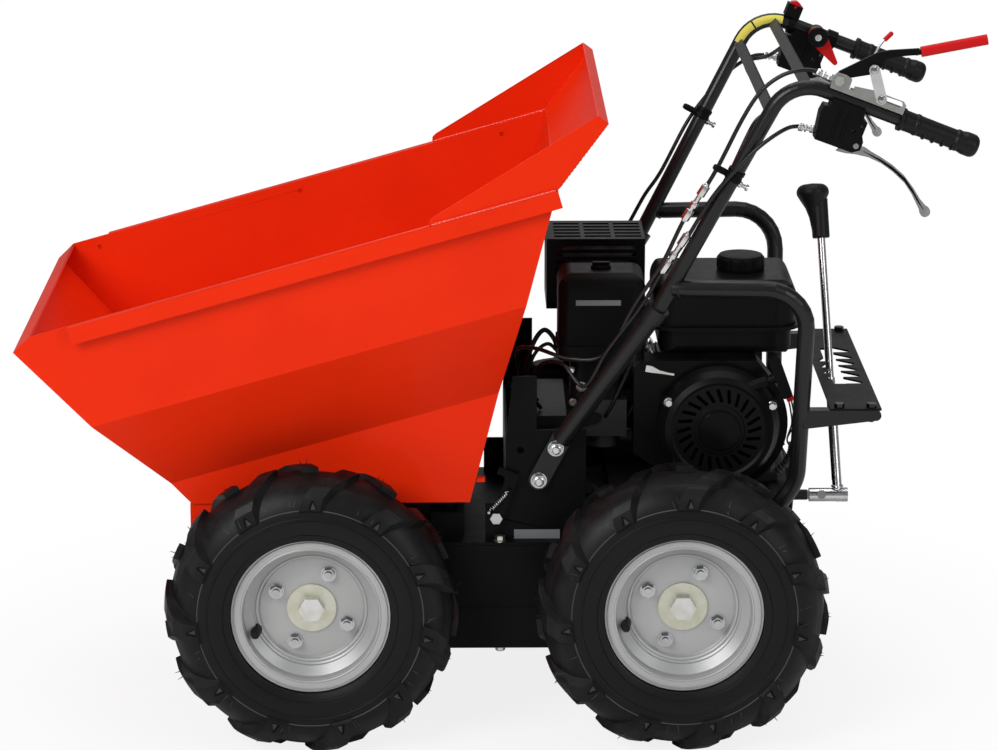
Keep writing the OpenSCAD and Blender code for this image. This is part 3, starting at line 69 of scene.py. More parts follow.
class Finish:
    """A procedural material: a Principled shader with textures laid out in the object's own metres."""

    def __init__(self, name, colour, roughness, metallic=0.0, coat=0.0, coat_roughness=0.1, specular=0.5):
        self.material = bpy.data.materials.new(name)
        self.material.use_nodes = True
        self.tree = self.material.node_tree
        self.shader = self.tree.nodes["Principled BSDF"]
        self.coords = self.add("ShaderNodeTexCoord").outputs["Object"]
        self.set("Base Color", (*colour, 1))
        self.set("Roughness", roughness)
        self.set("Metallic", metallic)
        self.set("Coat Weight", coat)
        self.set("Coat Roughness", coat_roughness)
        self.set("Specular IOR Level", specular)
        self.material.diffuse_color = (*colour, 1)

    def add(self, kind):
        return self.tree.nodes.new(kind)

    def link(self, output, socket):
        self.tree.links.new(output, socket)

    def set(self, socket, value):
        self.shader.inputs[socket].default_value = value

    def noise(self, scale, detail=3.0, roughness=0.5, stretch=(1, 1, 1)):
        mapping = self.add("ShaderNodeMapping")
        mapping.inputs["Scale"].default_value = stretch
        self.link(self.coords, mapping.inputs["Vector"])
        node = self.add("ShaderNodeTexNoise")
        node.inputs["Scale"].default_value = scale
        node.inputs["Detail"].default_value = detail
        node.inputs["Roughness"].default_value = roughness
        self.link(mapping.outputs["Vector"], node.inputs["Vector"])
        return node.outputs["Fac"]

    def cells(self, scale):
        node = self.add("ShaderNodeTexVoronoi")
        node.inputs["Scale"].default_value = scale
        self.link(self.coords, node.inputs["Vector"])
        return node.outputs["Distance"]

    def math(self, operation, a, b=None):
        node = self.add("ShaderNodeMath")
        node.operation = operation
        for socket, value in zip(node.inputs, (a, b)):
            if value is None:
                continue
            if isinstance(value, (int, float)):
                socket.default_value = value
            else:
                self.link(value, socket)
        return node.outputs["Value"]

    def length(self, a, b):
        """The length of a vector with the parts a and b."""
        return self.math("SQRT", self.math("ADD", self.math("MULTIPLY", a, a), self.math("MULTIPLY", b, b)))

    def ramp(self, fac, low, high):
        """0 up to low and 1 from high on, with a smooth step between them."""
        node = self.add("ShaderNodeMapRange")
        node.interpolation_type = "SMOOTHSTEP"
        node.inputs["From Min"].default_value = low
        node.inputs["From Max"].default_value = high
        self.link(fac, node.inputs["Value"])
        return node.outputs["Result"]

    def spread(self, fac, low, high):
        """fac, from 0 to 1, mapped to the span from low to high."""
        node = self.add("ShaderNodeMapRange")
        node.inputs["To Min"].default_value = low
        node.inputs["To Max"].default_value = high
        self.link(fac, node.inputs["Value"])
        return node.outputs["Result"]

    def blend(self, fac, a, b):
        """Colour b laid over colour a by fac; each is a colour or another node's output."""
        node = self.add("ShaderNodeMix")
        node.data_type = "RGBA"
        self.link(fac, node.inputs["Factor"])
        for index, value in ((6, a), (7, b)):
            if isinstance(value, tuple):
                node.inputs[index].default_value = (*value, 1)
            else:
                self.link(value, node.inputs[index])
        return node.outputs[2]

    def colour(self, output):
        self.link(output, self.shader.inputs["Base Color"])

    def rough(self, output):
        self.link(output, self.shader.inputs["Roughness"])

    def bump(self, height, strength, distance):
        node = self.add("ShaderNodeBump")
        node.inputs["Strength"].default_value = strength
        node.inputs["Distance"].default_value = distance
        self.link(height, node.inputs["Height"])
        previous = self.shader.inputs["Normal"].links
        if previous:
            self.link(previous[0].from_socket, node.inputs["Normal"])
        self.link(node.outputs["Normal"], self.shader.inputs["Normal"])

    def band(self, value, low, full, end, high):
        """1 between full and end, fading out to 0 at low and high."""
        fade = self.math("SUBTRACT", 1.0, self.ramp(value, end, high))
        return self.math("MULTIPLY", self.ramp(value, low, full), fade)

    def round_carcass(self, x, y, z, radius):
        """Shades the tyre's carcass as the smooth ellipse that its facets follow."""
        rise = self.math("SUBTRACT", radius, CARCASS_R * MM)
        climb = self.math("DIVIDE", rise, (CARCASS_RISE * MM) ** 2)
        spread = self.math("DIVIDE", y, (CARCASS_HALF_W * MM) ** 2)
        join = self.add("ShaderNodeCombineXYZ")
        self.link(self.math("MULTIPLY", climb, self.math("DIVIDE", x, radius)), join.inputs["X"])
        self.link(spread, join.inputs["Y"])
        self.link(self.math("MULTIPLY", climb, self.math("DIVIDE", z, radius)), join.inputs["Z"])
        turn = self.add("ShaderNodeVectorTransform")
        turn.vector_type, turn.convert_from, turn.convert_to = "NORMAL", "OBJECT", "WORLD"
        self.link(join.outputs["Vector"], turn.inputs["Vector"])
        unit = self.add("ShaderNodeVectorMath")
        unit.operation = "NORMALIZE"
        self.link(turn.outputs["Vector"], unit.inputs[0])
        reach = self.math("ADD", self.math("MULTIPLY", climb, rise), self.math("MULTIPLY", spread, y))
        # The reach is 1 on the ellipse, so lugs and the lower sidewall keep their own normals
        near = self.math("MULTIPLY", self.band(reach, 0.9, 0.93, 1.02, 1.05), self.ramp(radius, 0.15, 0.156))
        mix = self.add("ShaderNodeMix")
        mix.data_type = "VECTOR"
        self.link(near, mix.inputs["Factor"])
        self.link(self.add("ShaderNodeNewGeometry").outputs["Normal"], mix.inputs[4])
        self.link(unit.outputs["Vector"], mix.inputs[5])
        self.link(mix.outputs[1], self.shader.inputs["Normal"])

    def axes(self, origin=(0, 0, 0)):
        """The x, y and z of a point about an origin."""
        shift = self.add("ShaderNodeVectorMath")
        shift.operation = "SUBTRACT"
        shift.inputs[1].default_value = origin
        self.link(self.coords, shift.inputs[0])
        split = self.add("ShaderNodeSeparateXYZ")
        self.link(shift.outputs["Vector"], split.inputs["Vector"])
        return split.outputs["X"], split.outputs["Y"], split.outputs["Z"]


def powder_coat(name, colour, dark, roughness, peel, coat=0.0, specular=0.07, metallic=0.0):
    """Sprayed paint: a fine orange peel and faint clouding."""
    finish = Finish(name, colour, roughness, metallic, coat=coat, coat_roughness=0.08, specular=specular)
    cloud = finish.ramp(finish.noise(6, 4), 0.3, 0.75)
    finish.colour(finish.blend(cloud, colour, dark))
    finish.rough(finish.spread(finish.noise(40, 5), roughness - 0.06, roughness + 0.08))
    finish.bump(finish.noise(420, 2), peel, 0.0004)
    return finish.material


def plated(name, colour, tint, roughness):
    """Plated or bare metal with a faint tint and fine drawn scratches."""
    finish = Finish(name, colour, roughness, metallic=1.0)
    finish.colour(finish.blend(finish.ramp(finish.noise(55, 3), 0.35, 0.7), colour, tint))
    scratch = finish.noise(900, 2, stretch=(1, 0.08, 1))
    finish.rough(finish.spread(scratch, roughness - 0.07, roughness + 0.1))
    finish.bump(scratch, 0.05, 0.0002)
    return finish.material


def moulded(name, colour, dark, roughness, grain, grain_size, specular=0.07):
    """Moulded plastic or rubber with a fine leather-like grain."""
    finish = Finish(name, colour, roughness, specular=specular)
    finish.colour(finish.blend(finish.noise(18, 5), colour, dark))
    finish.rough(finish.spread(finish.noise(70, 4), roughness - 0.08, roughness + 0.08))
    finish.bump(finish.cells(grain_size), grain, 0.0003)
    return finish.material


def tyre_rubber(name, centre):
    """Tyre rubber: fine rings on the sidewall, a hatched band between the lugs and a dusty tread."""
    ring_waves, waves_around, waves_across = 1700.0, 420.0, 2200.0
    finish = Finish(name, (0.006, 0.006, 0.0062), 0.45, specular=0.19)
    x, y, z = finish.axes(centre)
    radius = finish.length(x, z)
    angle = finish.math("ARCTAN2", z, x)
    finish.round_carcass(x, y, z, radius)
    tread = finish.ramp(radius, 0.168, 0.186)
    dust = finish.math("MULTIPLY", finish.ramp(finish.noise(30, 5), 0.35, 0.7), tread)
    finish.colour(finish.blend(dust, (0.0042, 0.0042, 0.0044), (0.011, 0.011, 0.0116)))
    finish.rough(finish.spread(finish.noise(120, 4), 0.34, 0.52))
    rings = finish.math("SINE", finish.math("MULTIPLY", radius, ring_waves))
    side = finish.band(radius, 0.122, 0.128, 0.14, 0.146)
    finish.bump(finish.math("MULTIPLY", rings, side), 0.12, 0.0006)
    around = finish.math("MULTIPLY", angle, waves_around)
    over = finish.math("MULTIPLY", y, waves_across)
    hatch = finish.math("MULTIPLY", finish.math("SINE", finish.math("ADD", around, over)),
                        finish.math("SINE", finish.math("SUBTRACT", around, over)))
    between = finish.band(radius, 0.194, 0.198, 0.2075, 0.2085)
    finish.bump(finish.math("MULTIPLY", hatch, between), 0.5, 0.0008)
    finish.bump(finish.noise(260, 4), 0.2, 0.0006)
    return finish.material


def cast_metal(name, colour, dark, roughness, metallic):
    """Sand-cast metal: coarse grain and clouded colour."""
    finish = Finish(name, colour, roughness, metallic)
    finish.colour(finish.blend(finish.noise(25, 5), colour, dark))
    finish.rough(finish.spread(finish.noise(150, 4), roughness - 0.1, roughness + 0.12))
    finish.bump(finish.noise(330, 3, 0.65), 0.3, 0.0008)
    return finish.material


# Materials

RED_PAINT = powder_coat("tub_red", (0.82, 0.027, 0.0035), (0.77, 0.024, 0.003), 0.32, 0.05,
                        coat=0.04, specular=0.05)
WELD_RED = powder_coat("weld_red", (0.84, 0.05, 0.02), (0.78, 0.03, 0.008), 0.16, 0.05,
                       coat=0.5, specular=0.6)
FRAME_BLACK = powder_coat("frame_black", (0.0035, 0.0035, 0.0037), (0.0055, 0.0055, 0.0057), 0.4, 0.1)
TUBE_BLACK = powder_coat("tube_black", (0.007, 0.007, 0.0073), (0.0095, 0.0095, 0.0099), 0.3, 0.06,
                         specular=0.32)
BRACE_GREY = powder_coat("brace_grey", (0.04, 0.04, 0.043), (0.032, 0.032, 0.034), 0.42, 0.1)
ENGINE_BLACK = powder_coat("engine_black", (0.004, 0.004, 0.0042), (0.006, 0.006, 0.0062), 0.36, 0.1,
                           specular=0.08)
RIM_SILVER = powder_coat("rim_silver", (0.47, 0.475, 0.47), (0.42, 0.425, 0.42), 0.42, 0.06,
                         specular=0.5, metallic=0.45)
ZINC = plated("zinc_plate", (0.70, 0.71, 0.70), (0.62, 0.62, 0.57), 0.28)
BRIGHT_ZINC = plated("bright_zinc", (0.88, 0.88, 0.88), (0.8, 0.8, 0.79), 0.34)
NUT_ZINC = plated("nut_zinc", (0.5, 0.51, 0.52), (0.42, 0.42, 0.42), 0.16)
WASHER = plated("yellow_zinc", (0.60, 0.60, 0.47), (0.66, 0.66, 0.57), 0.4)
CHROME = plated("chrome_rod", (0.66, 0.66, 0.67), (0.58, 0.58, 0.59), 0.2)
STEEL = plated("grey_steel", (0.40, 0.39, 0.37), (0.34, 0.33, 0.31), 0.42)
LEVER_ALLOY = plated("lever_alloy", (0.46, 0.46, 0.45), (0.36, 0.36, 0.35), 0.2)
DARK_CAST = cast_metal("dark_cast", (0.014, 0.014, 0.0145), (0.008, 0.008, 0.0083), 0.5, 0.3)
IRON = cast_metal("gearbox_iron", (0.010, 0.010, 0.0105), (0.006, 0.006, 0.0063), 0.5, 0.2)
PLASTIC = moulded("black_plastic", (0.0035, 0.0035, 0.0037), (0.0055, 0.0055, 0.0057), 0.4, 0.2, 900)
SOFT_RUBBER = moulded("soft_rubber", (0.005, 0.005, 0.005), (0.0085, 0.0085, 0.0085), 0.42, 0.22, 700,
                      specular=0.18)
TANK_BLACK = moulded("tank_black", (0.004, 0.004, 0.0042), (0.006, 0.006, 0.0062), 0.34, 0.1, 1200)
GLOSS_BLACK = moulded("gloss_black", (0.003, 0.003, 0.003), (0.0045, 0.0045, 0.0045), 0.2, 0.04, 1200)
SHEATH = moulded("cable_sheath", (0.004, 0.004, 0.004), (0.007, 0.007, 0.007), 0.28, 0.1, 1500,
                 specular=0.35)
RED_PLASTIC = moulded("red_plastic", (0.62, 0.012, 0.014), (0.5, 0.01, 0.011), 0.34, 0.08, 1100)
YELLOW_FILM = moulded("yellow_film", (0.72, 0.65, 0.12), (0.66, 0.58, 0.10), 0.45, 0.05, 1400)
PLATE_GREY = powder_coat("plate_grey", (0.20, 0.21, 0.22), (0.16, 0.17, 0.18), 0.45, 0.05)
CONDUIT = moulded("conduit_grey", (0.06, 0.06, 0.062), (0.03, 0.03, 0.031), 0.4, 0.1, 1200)
BLACK_OXIDE = plated("black_oxide", (0.05, 0.05, 0.052), (0.03, 0.03, 0.031), 0.3)
MOULD_LINE = moulded("mould_line", (0.10, 0.10, 0.10), (0.05, 0.05, 0.05), 0.5, 0.1, 1200)
PULLEY = cast_metal("pulley_iron", (0.1, 0.1, 0.1), (0.06, 0.06, 0.06), 0.45, 0.7)
MUFFLER_STEEL = cast_metal("muffler_steel", (0.05, 0.048, 0.046), (0.025, 0.024, 0.023), 0.5, 0.7)

FINISHES = {
    RED_PAINT: ["tub", "spill_guard", "tub_hinge_brackets"],
    FRAME_BLACK: ["chassis_box", "engine_frame", "shift_gate", "belt_guard", "tub_latch"],
    TUBE_BLACK: ["hoops", "handlebars"],
    RIM_SILVER: [f"{w}_rim" for w in WHEELS],
    IRON: ["gearbox"] + [f"{w}_hub" for w in WHEELS],
    PULLEY: ["engine_pulley", "gearbox_pulley"],
    NUT_ZINC: ["frame_bolts"],
    BRIGHT_ZINC: ["clutch_link"],
    ZINC: ["latch_spring", "selector_shaft", "idler_arm"] + [f"{w}_fasteners" for w in WHEELS],
    STEEL: ["clutch_bracket"],
    CHROME: ["shift_lever"],
    SOFT_RUBBER: ["tub_buffers", "grips", "drive_belt", "shift_knob"],
    PLASTIC: ["lever_housings", "right_controls", "air_cleaner", "fuel_cap", "starter_handle", "choke_lever"],
    ENGINE_BLACK: ["blower_housing", "recoil_cover", "muffler_guard", "clutch_lever"],
    TANK_BLACK: ["fuel_tank"],
    DARK_CAST: ["crankcase", "carburettor"],
    LEVER_ALLOY: ["left_lever", "right_lever"],
    MUFFLER_STEEL: ["muffler"],
    RED_PLASTIC: ["clutch_sleeve", "throttle_lever", "stop_rocker"],
    SHEATH: ["control_cables"],
}


def coat(node, material):
    """Gives a CAD node its finish."""
    mesh = NODES[node].data
    mesh.materials.clear()
    mesh.materials.append(material)


def centre_of(node):
    """The middle of a CAD node's box, in metres."""
    low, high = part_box(node)
    return [(a + b) / 2 for a, b in zip(low, high)]


def recoat(node, others, pick):
    """Gives some faces of a node other finishes; pick turns a face's middle into the finish's number."""
    mesh = NODES[node].data
    for material in others:
        mesh.materials.append(material)
    for face in mesh.polygons:
        face.material_index = int(pick(face.center))


def wheel_fastener(middle):
    """Tells the axle bolt, its washer and the wheel nuts apart by their distance from the axle."""
    bolt_r, washer_r = 0.0175, 0.037

    def pick(point):
        reach = math.hypot(point.x - middle[0], point.z - middle[2])
        return 0 if reach < bolt_r else 1 if reach < washer_r else 2
    return pick


for material, names in FINISHES.items():
    for name in names:
        coat(name, material)
# Where one node's pieces have two finishes, a plane between them tells them apart
BRACE_END_Y = 0.2
GATE_BOLTS_X = 0.44
LEVER_SLEEVE_X = 0.482
CLUTCH_BOLT_Y = -0.3135
recoat("handlebars", [BRACE_GREY], lambda point: abs(point.y) < BRACE_END_Y)
recoat("frame_bolts", [BLACK_OXIDE], lambda point: point.x > GATE_BOLTS_X)
recoat("selector_shaft", [IRON], lambda point: point.x < LEVER_SLEEVE_X)
recoat("clutch_lever", [ZINC], lambda point: point.y < CLUTCH_BOLT_Y)
for wheel in WHEELS:
    hub = centre_of(f"{wheel}_rim")
    recoat(f"{wheel}_fasteners", [WASHER, NUT_ZINC], wheel_fastener(hub))
    coat(f"{wheel}_tyre", tyre_rubber(f"{wheel}_rubber", hub))


def soften(node, width):
    """Rounds a CAD node's sharp edges by a small bevel."""
    obj = NODES[node]
    weld = obj.modifiers.new("weld", "WELD")
    weld.merge_threshold = 0.00002
    bevel = obj.modifiers.new("soft_edges", "BEVEL")
    bevel.width = width * MM
    bevel.segments = 2
    bevel.limit_method = "ANGLE"
    bevel.angle_limit = math.radians(25)
    bevel.harden_normals = True


# Mesh helpers, in millimetres

def piece(name, bm, material, body, sharp=35):
    """A finished mesh, smooth except at sharp edges, riding on a body unless that is None."""
    bmesh.ops.recalc_face_normals(bm, faces=bm.faces)
    mesh = bpy.data.meshes.new(name)
    bm.to_mesh(mesh)
    bm.free()
    mesh.transform(Matrix.Translation((0, 0, RIDE * MM)) @ Matrix.Scale(MM, 4))
    for polygon in mesh.polygons:
        polygon.use_smooth = True
    mesh.set_sharp_from_angle(angle=math.radians(sharp))
    mesh.materials.append(material)
    obj = bpy.data.objects.new(name, mesh)
    bpy.context.collection.objects.link(obj)
    if body:
        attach(obj, body)
    return obj


def square_to(axis):
    """Two unit vectors square to an axis and to each other."""
    axis = Vector(axis).normalized()
    helper = Vector((0, 1, 0)) if abs(axis.y) < 0.9 else Vector((1, 0, 0))
    u = axis.cross(helper).normalized()
    return u, axis.cross(u)


def bridge(bm, loops, closed_ends=True):
    """Faces between loops of as many points, with flat ends."""
    for a, b in zip(loops, loops[1:]):
        for i in range(len(a)):
            j = (i + 1) % len(a)
            bm.faces.new((a[i], a[j], b[j], b[i]))
    if closed_ends:
        bm.faces.new(list(reversed(loops[0])))
        bm.faces.new(loops[-1])


def circle(bm, middle, u, v, radius, sides):
    """A loop of points about a middle, in the plane of u and v."""
    turn = [2 * math.pi * k / sides for k in range(sides)]
    return [bm.verts.new(middle + (u * math.cos(t) + v * math.sin(t)) * radius) for t in turn]


def lathe(bm, profile, place, axis, sides=28):
    """A turned piece: profile points (radius, height) along an axis."""
    place, axis = Vector(place), Vector(axis).normalized()
    u, v = square_to(axis)
    bridge(bm, [circle(bm, place + axis * height, u, v, radius, sides) for radius, height in profile])


def sweep(bm, path, radius, sides=10):
    """A round tube along points; radius is a number or one number for each point."""
    path = [Vector(p) for p in path]
    radii = radius if isinstance(radius, (list, tuple)) else [radius] * len(path)
    side = None
    loops = []
    for i, point in enumerate(path):
        along = (path[min(i + 1, len(path) - 1)] - path[max(i - 1, 0)]).normalized()
        if side is None:
            side = square_to(along)[0]
        side = (side - along * side.dot(along)).normalized()
        loops.append(circle(bm, point, side, along.cross(side), radii[i], sides))
    bridge(bm, loops)


def prism(bm, outline, place, u, v, depth):
    """A plate: an outline in the plane of u and v at a place, as thick as depth."""
    place, u, v = Vector(place), Vector(u).normalized(), Vector(v).normalized()
    normal = u.cross(v) * depth
    near = [bm.verts.new(place + u * a + v * b) for a, b in outline]
    far = [bm.verts.new(p.co + normal) for p in near]
    bridge(bm, [near, far])


def hex_head(bm, place, axis, flats, height, flange=0.0):
    """A hexagon head with a chamfered top, on a flange if one is asked for."""
    place, axis = Vector(place), Vector(axis).normalized()
    if flange:
        lathe(bm, [(flange, 0), (flange, 1.2), (flange * 0.8, 2.4)], place, axis, 24)
        place = place + axis * 1.6
    corner = flats / 2 / math.cos(math.pi / 6)
    lathe(bm, [(corner, 0), (corner, height * 0.82), (corner * 0.86, height)], place, axis, 6)


def smooth_curve(points, steps):
    """Points on the smooth curve through given points."""
    points = [Vector(p) for p in points]
    last = len(points) - 1
    out = []
    for i in range(last):
        a, b, c, d = points[max(i - 1, 0)], points[i], points[i + 1], points[min(i + 2, last)]
        for s in range(steps):
            t = s / steps
            out.append(0.5 * (2 * b + (c - a) * t + (2 * a - 5 * b + 4 * c - d) * t * t
                              + (3 * b - a - 3 * c + d) * t ** 3))
    return out + [points[last]]


def mirrored(points):
    """The same points on the machine's other side."""
    return [(x, -y, z) for x, y, z in points]


# Cables along the bars, through the points of their routes

SOCKET_TOP = Vector((236, -257, 648))
BAR_CORNER = Vector((414, -299, 990.8))
# Square to the bar, forwards and up
BAR_AHEAD = Vector((-0.887, 0, 0.46))
CABLE_D = 6


def beside(z, ahead, out):
    """A point beside the left bar at a height."""
    share = (z - SOCKET_TOP.z) / (BAR_CORNER.z - SOCKET_TOP.z)
    return SOCKET_TOP.lerp(BAR_CORNER, share) + ahead * BAR_AHEAD + out * Vector((0, -1, 0))


HAND_CABLE = [(455, -299, 914.5), (450, -299, 916.5), (424.2, -299.3, 921), (404, -303, 915.5),
              beside(897, -8, 17), beside(860, 4, 17), beside(810, 14, 11), beside(734, 16, 2),
              beside(693, 22, 0), beside(640, 24, 0), (163, -234, 579), (130, -222, 522), (98, -190, 548),
              (66, -150, 534), (56, -96, 478), (70, -74, 449)]
# The right cable ends where the frame hides it
RIGHT_CABLE_POINTS = 12
CLUTCH_CABLE = [(476, -308, 989), (448, -304, 1000.7), (424, -302, 1001), (398, -298, 991), (372, -293, 968),
                beside(915, 30, 0), beside(850, 27, 0), beside(811, 28, 0), beside(768, 32, 0),
                beside(700, 28, 0), beside(640, 33, 0), (160, -226, 572), (108, -206, 560), (60, -170, 566),
                (34, -110, 546), (44, -50, 480), (66, -30, 449)]
THROTTLE_CABLE = [(462, 252, 950), (430, 240, 930), (392, 200, 926), (390, 0, 926), (390, -200, 926),
                  (366, -256, 914), beside(830, 4, -17), beside(740, 4, -18), beside(660, 6, -22),
                  (216, -221, 606), (196, -190, 540), (176, -176, 488), (165, -160, 461), (165, -143, 456)]


def make_cables():
    routes = {"left_hand_cable": HAND_CABLE, "clutch_cable": CLUTCH_CABLE, "throttle_cable": THROTTLE_CABLE,
              "right_hand_cable": mirrored(HAND_CABLE[:RIGHT_CABLE_POINTS])}
    for name, route in routes.items():
        bm = bmesh.new()
        sweep(bm, smooth_curve(route, 10), CABLE_D / 2, 12)
        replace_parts(piece(name, bm, SHEATH, "machine"), "control_cables")


# Wheel details

PARTING_R = 163.8
PARTING_OUT = 52.2
# The lugs run round the tyre by this share of the way across it
LUG_SLANT = 0.8
LUG_TOP_R = 214
# Where the inner end of the first lug lies on the flank: its radius, and its turn in degrees
LUG_END_R = 173.5
LUG_END_TURN = -91.6
HAIR_LENGTH = 8.0
# Hairs and streaks that would reach below these heights are left out
HAIR_LOWEST = 12
STREAK_LOWEST = 14
# Distances from the axle and from the wheel's middle plane that lie outside the tyre
OUTSIDE_TREAD = 260
OUTSIDE_FLANK = 90
VALVE_R = 87


class Wheel:
    """A wheel's middle, its way outwards and its tyre's surface, in millimetres."""

    def __init__(self, name):
        tyre = NODES[f"{name}_tyre"].data
        lift = Vector((0, 0, RIDE))
        self.name = name
        self.rubber = tyre.materials[0]
        self.centre = Vector(centre_of(f"{name}_rim")) / MM - lift
        self.out = Vector((0, -1 if "left" in name else 1, 0))
        points = [p.co / MM - lift for p in tyre.vertices]
        self.surface = BVHTree.FromPolygons(points, [f.vertices[:] for f in tyre.polygons])

    def spoke(self, angle):
        """The way from the axle to a point of the tyre."""
        return Vector((math.cos(angle), 0, math.sin(angle)))

    def flank(self, spot, side):
        """The point of the tyre's flank beside a spot, and the way it faces."""
        outwards = self.out * side
        return self.surface.ray_cast(spot + outwards * OUTSIDE_FLANK, -outwards)[:2]

    def ring(self, bm, radius, lift, thick, sides=4):
        """A thin ring about the axle, lifted outwards."""
        steps = 120
        loops = []
        for k in range(steps):
            spoke = self.spoke(2 * math.pi * k / steps)
            middle = self.centre + spoke * radius + self.out * lift
            loops.append(circle(bm, middle, spoke, self.out, thick, sides))
        bridge(bm, loops + [loops[0]], closed_ends=False)

    def piece(self, detail, bm, material, slot="tyre_rubber", sharp=35):
        piece(f"{self.name}_{detail}", bm, material, f"{self.name}_wheel", sharp)


def add_rings(wheel):
    """The rings of the sidewalls, the mould's parting line and the beads of the rim."""
    rings = bmesh.new()
    for radius, thick in ((127, 0.9), (149, 0.8), (152.5, 0.6)):
        lift = math.sqrt(CARCASS_HALF_W ** 2 - (radius - CARCASS_R) ** 2)
        for side in (1, -1):
            wheel.ring(rings, radius, side * lift, thick)
    wheel.piece("sidewall_rings", rings, wheel.rubber, sharp=80)
    line = bmesh.new()
    for side in (1, -1):
        wheel.ring(line, PARTING_R, side * PARTING_OUT, 0.9)
    wheel.piece("mould_line", line, MOULD_LINE, sharp=80)
    lip = bmesh.new()
    for radius, lift, thick in ((111.5, 40.9, 0.7), (101, 38.6, 1.7), (80, 1.6, 3.4)):
        wheel.ring(lip, radius, lift, thick, 10)
    wheel.piece("lip_bead", lip, RIM_SILVER, "rim_paint", sharp=80)


def add_hairs(wheel):
    """Moulding hairs on the tops of the lugs."""
    hairs = bmesh.new()
    for k in range(2 * LUG_COUNT):
        for side in (1, -1):
            across = random.uniform(8, 50)
            lug = k // 2 + (0.5 if side < 0 else 0)
            spoke = wheel.spoke(math.radians(lug * LUG_PITCH - 90) + (across * LUG_SLANT - 2) / LUG_TOP_R)
            above = wheel.centre + spoke * OUTSIDE_TREAD + wheel.out * side * across
            foot = wheel.surface.ray_cast(above, -spoke)[0] - spoke
            lean = Vector([random.uniform(-0.3, 0.3) for _ in range(3)])
            tip = foot + (spoke + lean) * (HAIR_LENGTH * random.uniform(0.6, 1.2))
            if tip.z + RIDE > HAIR_LOWEST:
                sweep(hairs, [foot, foot.lerp(tip, 0.6), tip], [0.7, 0.55, 0.2], 5)
    wheel.piece("moulding_hairs", hairs, wheel.rubber)


def add_streaks(wheel):
    """Pale moulding flash on the flanks."""
    streaks = bmesh.new()
    for k in range(4 * LUG_COUNT):
        side = 1 if k % 2 else -1
        outwards = wheel.out * side
        angle = math.radians((k // 4) * LUG_PITCH + random.uniform(-7, 7) + (16 if side < 0 else 0))
        spoke = wheel.spoke(angle)
        low, high = random.uniform(166, 172), random.uniform(176, 186)
        drift = spoke.cross(wheel.out) * random.uniform(-5, 5)
        foot = wheel.flank(wheel.centre + spoke * low, side)[0]
        tip = wheel.flank(wheel.centre + spoke * high + drift, side)[0] + outwards * 1.2
        if tip.z + RIDE > STREAK_LOWEST:
            sweep(streaks, [foot, foot.lerp(tip, 0.5) + outwards * 0.8, tip], [0.45, 0.4, 0.15], 5)
    wheel.piece("moulding_streaks", streaks, MOULD_LINE)


def add_lug_end_shade(wheel):
    """Painted light on each lug's inner end: a dark glossy plate as the painted shade of its pocket, and a
    paler triangle as the painted highlight on its facet.
    """
    pocket_shade, facet_highlights = bmesh.new(), bmesh.new()
    for k in range(2 * LUG_COUNT):
        spoke = wheel.spoke(math.radians(k * LUG_PITCH / 2 + LUG_END_TURN))
        foot, face = wheel.flank(wheel.centre + spoke * LUG_END_R, 1 if k % 2 else -1)
        rise = (spoke - face * spoke.dot(face)).normalized()
        across = rise.cross(face)
        # Painted shade: a dark glossy plate where the pocket's recess lies; painted highlight: a paler grey
        # triangle on its facet
        prism(pocket_shade, [(-6, -7), (6.5, -7), (2.4, 7), (-1.2, 7)], foot + face * 0.1, across, rise, 0.5)
        prism(facet_highlights, [(-1.8, -6), (5.4, -6), (1.4, 4.2)], foot + face * 0.35, across, rise, 0.6)
    wheel.piece("lug_pocket_shade", pocket_shade, GLOSS_BLACK)
    wheel.piece("lug_facet_highlights", facet_highlights, CONDUIT)


def add_valve(wheel):
    valve = bmesh.new()
    spoke = wheel.spoke(math.radians(201 if "front" in wheel.name else 195))
    lathe(valve, [(9, 0), (9, 5), (8, 9), (7, 18), (6.2, 20), (6.2, 28), (5.2, 30), (0.5, 30.4)],
          wheel.centre + spoke * VALVE_R + wheel.out * 4, wheel.out, 20)
    wheel.piece("valve", valve, SOFT_RUBBER, "soft_rubber")


def make_wheel_details():
    random.seed(7)
    for name in WHEELS:
        wheel = Wheel(name)
        add_rings(wheel)
        add_hairs(wheel)
        add_streaks(wheel)
        add_lug_end_shade(wheel)
        add_valve(wheel)


# Welds

# The front end of the tub's straight rim, which rises to the rear
RIM_FRONT_X = -665.7
RIM_FRONT_Z = 618.8
RIM_SLOPE = math.radians(15.8)
RIPPLE = 2.1


def rim_point(x, y, above):
    """A point over the tub's rim."""
    return x, y, RIM_FRONT_Z + math.tan(RIM_SLOPE) * (x - RIM_FRONT_X) + above


def ripples(radius, depth, count):
    """The radii of a weld's passes."""
    return [radius + depth * math.cos(k * RIPPLE) for k in range(count)]


def bead(bm, start, end, radius):
    """A weld bead between two points, with the uneven ripples of its passes."""
    start, end = Vector(start), Vector(end)
    count = max(int((end - start).length / 2.2), 4)
    path = [start.lerp(end, i / count) for i in range(count + 1)]
    radii = [radius * (0.78 + 0.22 * math.cos(i * RIPPLE) + random.uniform(-0.07, 0.07))
             for i in range(count + 1)]
    radii[0] = radii[-1] = radius * 0.35
    sweep(bm, path, radii, 8)


def make_tub_welds():
    """The welds of the hood: inside and outside its sides, up its corners and along its back."""
    random.seed(11)
    bm = bmesh.new()
    for side in (-1, 1):
        bead(bm, rim_point(-92, side * 309.6, 1), rim_point(86, side * 309.6, 1), 2.6)
        bead(bm, (88.5, side * 304, 833), (155, side * 308.5, 924), 2.2)
        bead(bm, rim_point(-91, side * 314.6, 1.4), rim_point(85, side * 314.6, 1.4), 3.2)
    bead(bm, (86.5, -300, 832.5), (86.5, 300, 832.5), 2.0)
    piece("tub_welds", bm, WELD_RED, "tipping_tub", 60)


